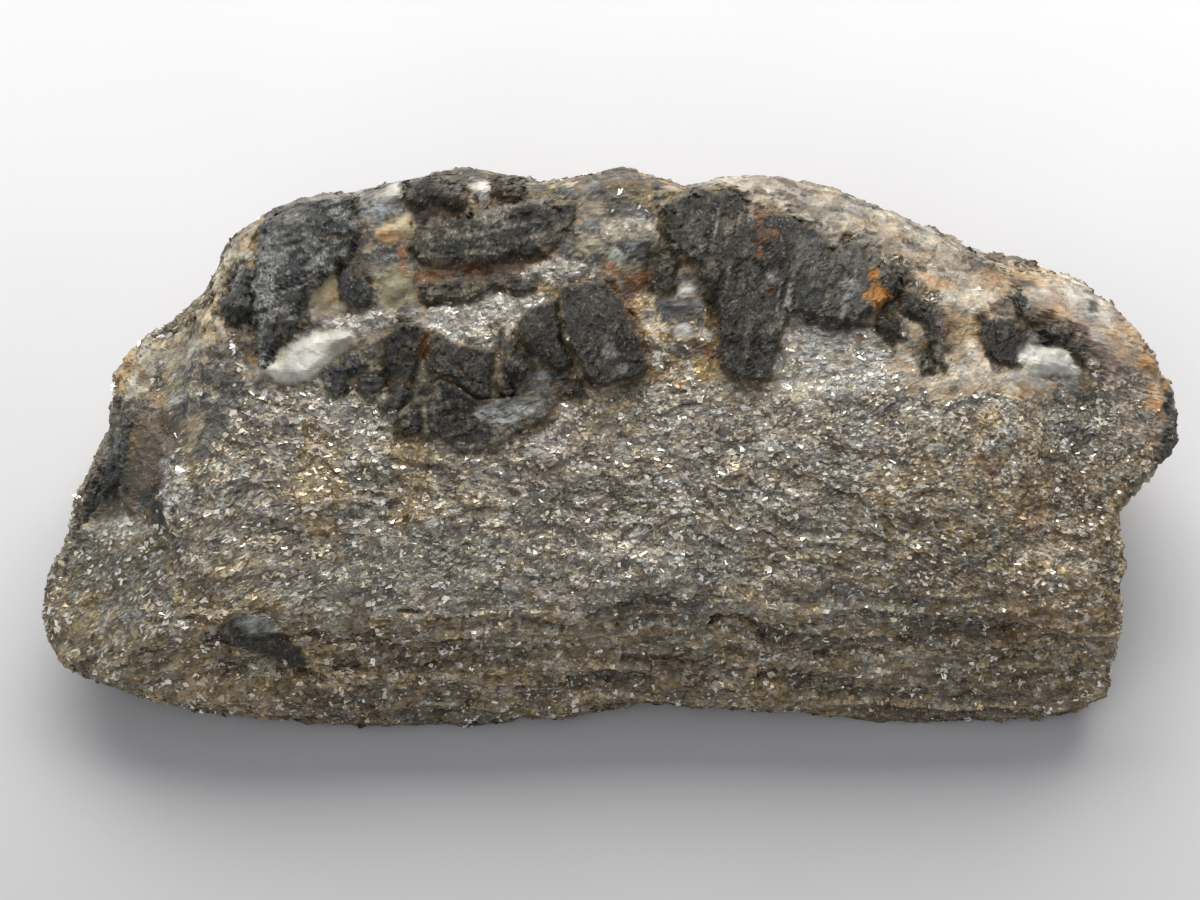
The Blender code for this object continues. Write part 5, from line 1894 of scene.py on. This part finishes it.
@dataclass(frozen=True)
class MicaScatter:
    """Geometry nodes that sow plates of mica over a ground."""

    finish: bpy.types.Material
    sides: tuple[int, ...] = (4, 4, 5, 4)
    grain_way: Triple = (1.0, 0.12, 0.0)  # plates lie with their length along this
    stray: float = 1.1
    lean: float = 0.27
    smallest: float = 0.00022
    rarity: float = 2.2  # the higher, the fewer large plates
    turn_seed: int = 11
    shade_seed: int = 5

    @cached_property
    def tree(self) -> bpy.types.NodeTree:
        """Points on the faces, plates on the points, made real."""
        tree = bpy.data.node_groups.new("sow_flakes", "GeometryNodeTree")
        tree.interface.new_socket("Geometry", in_out="INPUT", socket_type="NodeSocketGeometry")
        for name, kind in (("Density", "Float"), ("Seed", "Int"), ("Smallest", "Float"), ("Largest", "Float"),
                           ("Lean", "Float")):
            tree.interface.new_socket(name, in_out="INPUT", socket_type=f"NodeSocket{kind}")
        tree.interface.new_socket("Geometry", in_out="OUTPUT", socket_type="NodeSocketGeometry")
        bench = NodeBench(tree)
        given = bench.add("NodeGroupInput", {}).outputs
        share = bench.add("GeometryNodeInputNamedAttribute", {"Name": "sow"}, data_type="FLOAT")
        amount = bench.add("ShaderNodeMath", {0: given["Density"], 1: share.outputs["Attribute"]},
                           operation="MULTIPLY")
        sown = bench.add("GeometryNodeDistributePointsOnFaces", {
            "Mesh": given["Geometry"], "Density": amount.outputs[0], "Seed": given["Seed"]})
        shapes = bench.add("GeometryNodeCollectionInfo", {
            "Collection": self.shapes(), "Separate Children": True, "Reset Children": True})
        chance = bench.add("FunctionNodeRandomValue", {"Seed": given["Seed"]}, data_type="FLOAT")
        rare = bench.add("ShaderNodeMath", {0: chance.outputs[1], 1: self.rarity}, operation="POWER")
        size = bench.add("ShaderNodeMapRange", {
            "Value": rare.outputs[0], "To Min": given["Smallest"], "To Max": given["Largest"]})
        placed = bench.add("GeometryNodeInstanceOnPoints", {
            "Points": sown.outputs["Points"], "Instance": shapes.outputs["Instances"], "Pick Instance": True,
            "Rotation": self.turn(bench, given["Lean"], sown.outputs["Normal"]), "Scale": size.outputs[0]})
        shade = bench.add("FunctionNodeRandomValue", {"Seed": self.shade_seed}, data_type="FLOAT")
        kept = bench.add("GeometryNodeStoreNamedAttribute", {
            "Geometry": placed.outputs["Instances"], "Name": "shade", "Value": shade.outputs[1]},
            domain="INSTANCE", data_type="FLOAT")
        real = bench.add("GeometryNodeRealizeInstances", {"Geometry": kept.outputs["Geometry"]})
        dressed = bench.add("GeometryNodeSetMaterial", {
            "Geometry": real.outputs["Geometry"], "Material": self.finish})
        bench.add("NodeGroupOutput", {"Geometry": dressed.outputs["Geometry"]})
        return tree

    def shapes(self) -> bpy.types.Collection:
        """The plates to choose from."""
        shapes = bpy.data.collections.new("flake_shapes")
        for salt, sides in enumerate(self.sides):
            shapes.objects.link(FlakeShape(sides, salt).build())
        return shapes

    def turn(self, bench: NodeBench, lean: Socket, normal: Socket) -> Socket:
        """Lays each plate along the surface, then leans it and turns it about its own axis.

        Args:
            bench: The tree to work on.
            lean: How far a plate leans.
            normal: The way out of the surface.

        Returns:
            The rotation of each plate.
        """
        back = bench.add("ShaderNodeMath", {0: lean, 1: -1.0}, operation="MULTIPLY").outputs[0]
        low = bench.add("ShaderNodeCombineXYZ", {"X": back, "Y": back, "Z": -self.stray})
        high = bench.add("ShaderNodeCombineXYZ", {"X": lean, "Y": lean, "Z": self.stray})
        stray = bench.add("FunctionNodeRandomValue", {
            "Min": low.outputs[0], "Max": high.outputs[0], "Seed": self.turn_seed}, data_type="FLOAT_VECTOR")
        rotation = bench.add("FunctionNodeEulerToRotation", {0: stray.outputs[0]})
        upright = bench.add("FunctionNodeAlignRotationToVector", {"Vector": normal}, axis="Z")
        level = bench.add("FunctionNodeAlignRotationToVector", {
            "Rotation": upright.outputs[0], "Vector": self.grain_way}, axis="X", pivot_axis="Z")
        both = bench.add("FunctionNodeRotateRotation", {
            "Rotation": level.outputs[0], "Rotate By": rotation.outputs[0]}, rotation_space="LOCAL")
        return both.outputs[0]

    def sow(self, sowing: Sowing, seed: int, ground: bpy.types.Object) -> bpy.types.Object:
        """Sows plates over a ground and dresses them.

        Args:
            sowing: Where they lie and how thickly.
            seed: Tells one stretch's chances from another's.
            ground: What they lie on.

        Returns:
            The plates as one real mesh.
        """
        attributes = ground.data.attributes
        layer = attributes.get("sow") or attributes.new("sow", "FLOAT", "POINT")
        layer.data.foreach_set("value", sowing.share(ground).astype(float))
        copy = ground.copy()
        bpy.context.scene.collection.objects.link(copy)
        modifier = copy.modifiers.new("flakes", "NODES")
        modifier.node_group = self.tree
        sockets = {item.name: item.identifier for item in self.tree.interface.items_tree if item.in_out == "INPUT"}
        sizes = {"Density": sowing.density, "Seed": seed, "Smallest": self.smallest, "Largest": sowing.largest,
                 "Lean": self.lean}
        for name, value in sizes.items():
            modifier[sockets[name]] = value
        bpy.context.view_layer.update()
        graph = bpy.context.evaluated_depsgraph_get()
        mesh = bpy.data.meshes.new_from_object(copy.evaluated_get(graph))
        bpy.data.objects.remove(copy)
        mesh.name = sowing.name
        made = bpy.data.objects.new(sowing.name, mesh)
        bpy.context.scene.collection.objects.link(made)
        dress(made, self.finish)
        mesh.calc_loop_triangles()
        log.info("%s: %d triangles", made.name, len(mesh.loop_triangles))
        return made


# ---------------- studio


@dataclass(frozen=True)
class SoftLight:
    """A soft light, so wide and so high, aimed at the stone."""

    name: str
    at: Triple
    size: tuple[float, float]
    watts: float
    colour: Colour
    target: Triple = (0, 0, 0.015)

    def build(self) -> None:
        """Builds the light."""
        lamp = bpy.data.lights.new(self.name, "AREA")
        lamp.shape = "RECTANGLE"
        lamp.size, lamp.size_y = self.size
        lamp.energy = self.watts
        lamp.color = self.colour
        made = bpy.data.objects.new(self.name, lamp)
        made.location = self.at
        way = Vector(self.target) - Vector(self.at)
        made.rotation_euler = way.to_track_quat("-Z", "Y").to_euler()
        bpy.context.scene.collection.objects.link(made)


@dataclass(frozen=True)
class Studio:
    """The floor, a large window behind and above, a faint fill from the front, and a long lens."""

    floor_size: float = 6.0
    lights: tuple[SoftLight, ...] = (
        SoftLight("window", (0.0, 0.76, 0.70), (1.5, 0.75), 18.5, (1.0, 0.985, 0.955)),
        SoftLight("fill", (-0.5, -0.8, 1.1), (1.2, 1.2), 3.9, (0.97, 0.98, 1.0)),
    )
    room: tuple[float, ...] = (0.93, 0.95, 1.0, 1)
    room_light: float = 0.36
    distance: float = 0.65
    wide: float = 0.12715  # how much of the face plane the picture is wide
    look_at: Triple = (-0.75, -0.5, 18.0)  # U, V, W in millimetres
    sensor: float = 36.0

    def build(self) -> None:
        """Builds all of it."""
        self.floor()
        for light in self.lights:
            light.build()
        self.sky()
        self.camera()
        view = bpy.context.scene.view_settings
        view.view_transform, view.look, view.exposure = "Standard", "None", 0.0

    def floor(self) -> None:
        """Lays a wide pale sheet for the stone to rest on."""
        bpy.ops.mesh.primitive_plane_add(size=self.floor_size, location=(0, 0, 0))
        sheet = bpy.context.object
        sheet.name = "floor"
        sheet.data.materials.append(FloorFinish().build())

    def sky(self) -> None:
        """Gives the room its even light."""
        world = bpy.data.worlds.new("room")
        world.use_nodes = True
        sky = world.node_tree.nodes["Background"]
        sky.inputs["Color"].default_value = self.room
        sky.inputs["Strength"].default_value = self.room_light
        bpy.context.scene.world = world

    def camera(self) -> None:
        """Sets the camera to look down on the broad face."""
        lens = bpy.data.cameras.new("camera")
        lens.sensor_width = self.sensor
        lens.lens = self.sensor * self.distance / self.wide
        lens.clip_start = 0.01
        lens.clip_end = 20
        made = bpy.data.objects.new("camera", lens)
        u, v, w = self.look_at
        target = ((AXIS_U * u + AXIS_V * v + AXIS_W * w) + SHIFT) * MM
        place = target + AXIS_W * self.distance
        turn = Matrix((Vector(AXIS_U), Vector(AXIS_V), Vector(AXIS_W))).transposed()
        made.matrix_world = Matrix.Translation(Vector(place)) @ turn.to_4x4()
        bpy.context.scene.collection.objects.link(made)
        bpy.context.scene.camera = made


SKINS = (
    Skin("glitter_face", -59.4, 59.4, 3.0, 61.0, 0.27, 0.28, closer=0.15),
    Skin("crystal_vein", -59.4, 59.4, 58.0, 96.0, 0.22, 0.235, closer=0.2),
    Skin("left_end", -26.4, 26.4, -12.0, 15.4, 0.22, 0.22, end=End.LEFT),
    Skin("right_end", -26.4, 26.4, -12.0, 15.4, 0.22, 0.22, end=End.RIGHT),
)

SOWINGS = (
    Sowing("mica_around", Ground.BODY, 2.4e6),
    Sowing("mica_left", Ground.FACE, 12.0e6, high=-22, largest=0.00135),
    Sowing("mica_middle", Ground.FACE, 12.0e6, low=-22, high=20),
    Sowing("mica_right", Ground.FACE, 10.0e6, low=20),
    Sowing("mica_in_vein", Ground.VEIN, 8.0e6),
    Sowing("mica_at_left_end", Ground.LEFT_END, 8.0e6, largest=0.00125),
    Sowing("mica_at_right_end", Ground.RIGHT_END, 7.0e6),
)


def main() -> None:
    """Builds the stone, the mica on it, and the studio around it."""
    logging.basicConfig(level=logging.INFO, format="%(message)s")
    stone = SchistStone(StoneForm(), Growth(CRYSTALS, LUMPS), Colouring(TINTS, MIXES, PATCHES), SKINS)
    grounds = stone.build(StoneFinish().build())
    scatter = MicaScatter(MicaFinish().build())
    for seed, sowing in enumerate(SOWINGS):
        scatter.sow(sowing, seed, grounds[sowing.ground])
    Studio().build()


if __name__ == "__main__":
    main()
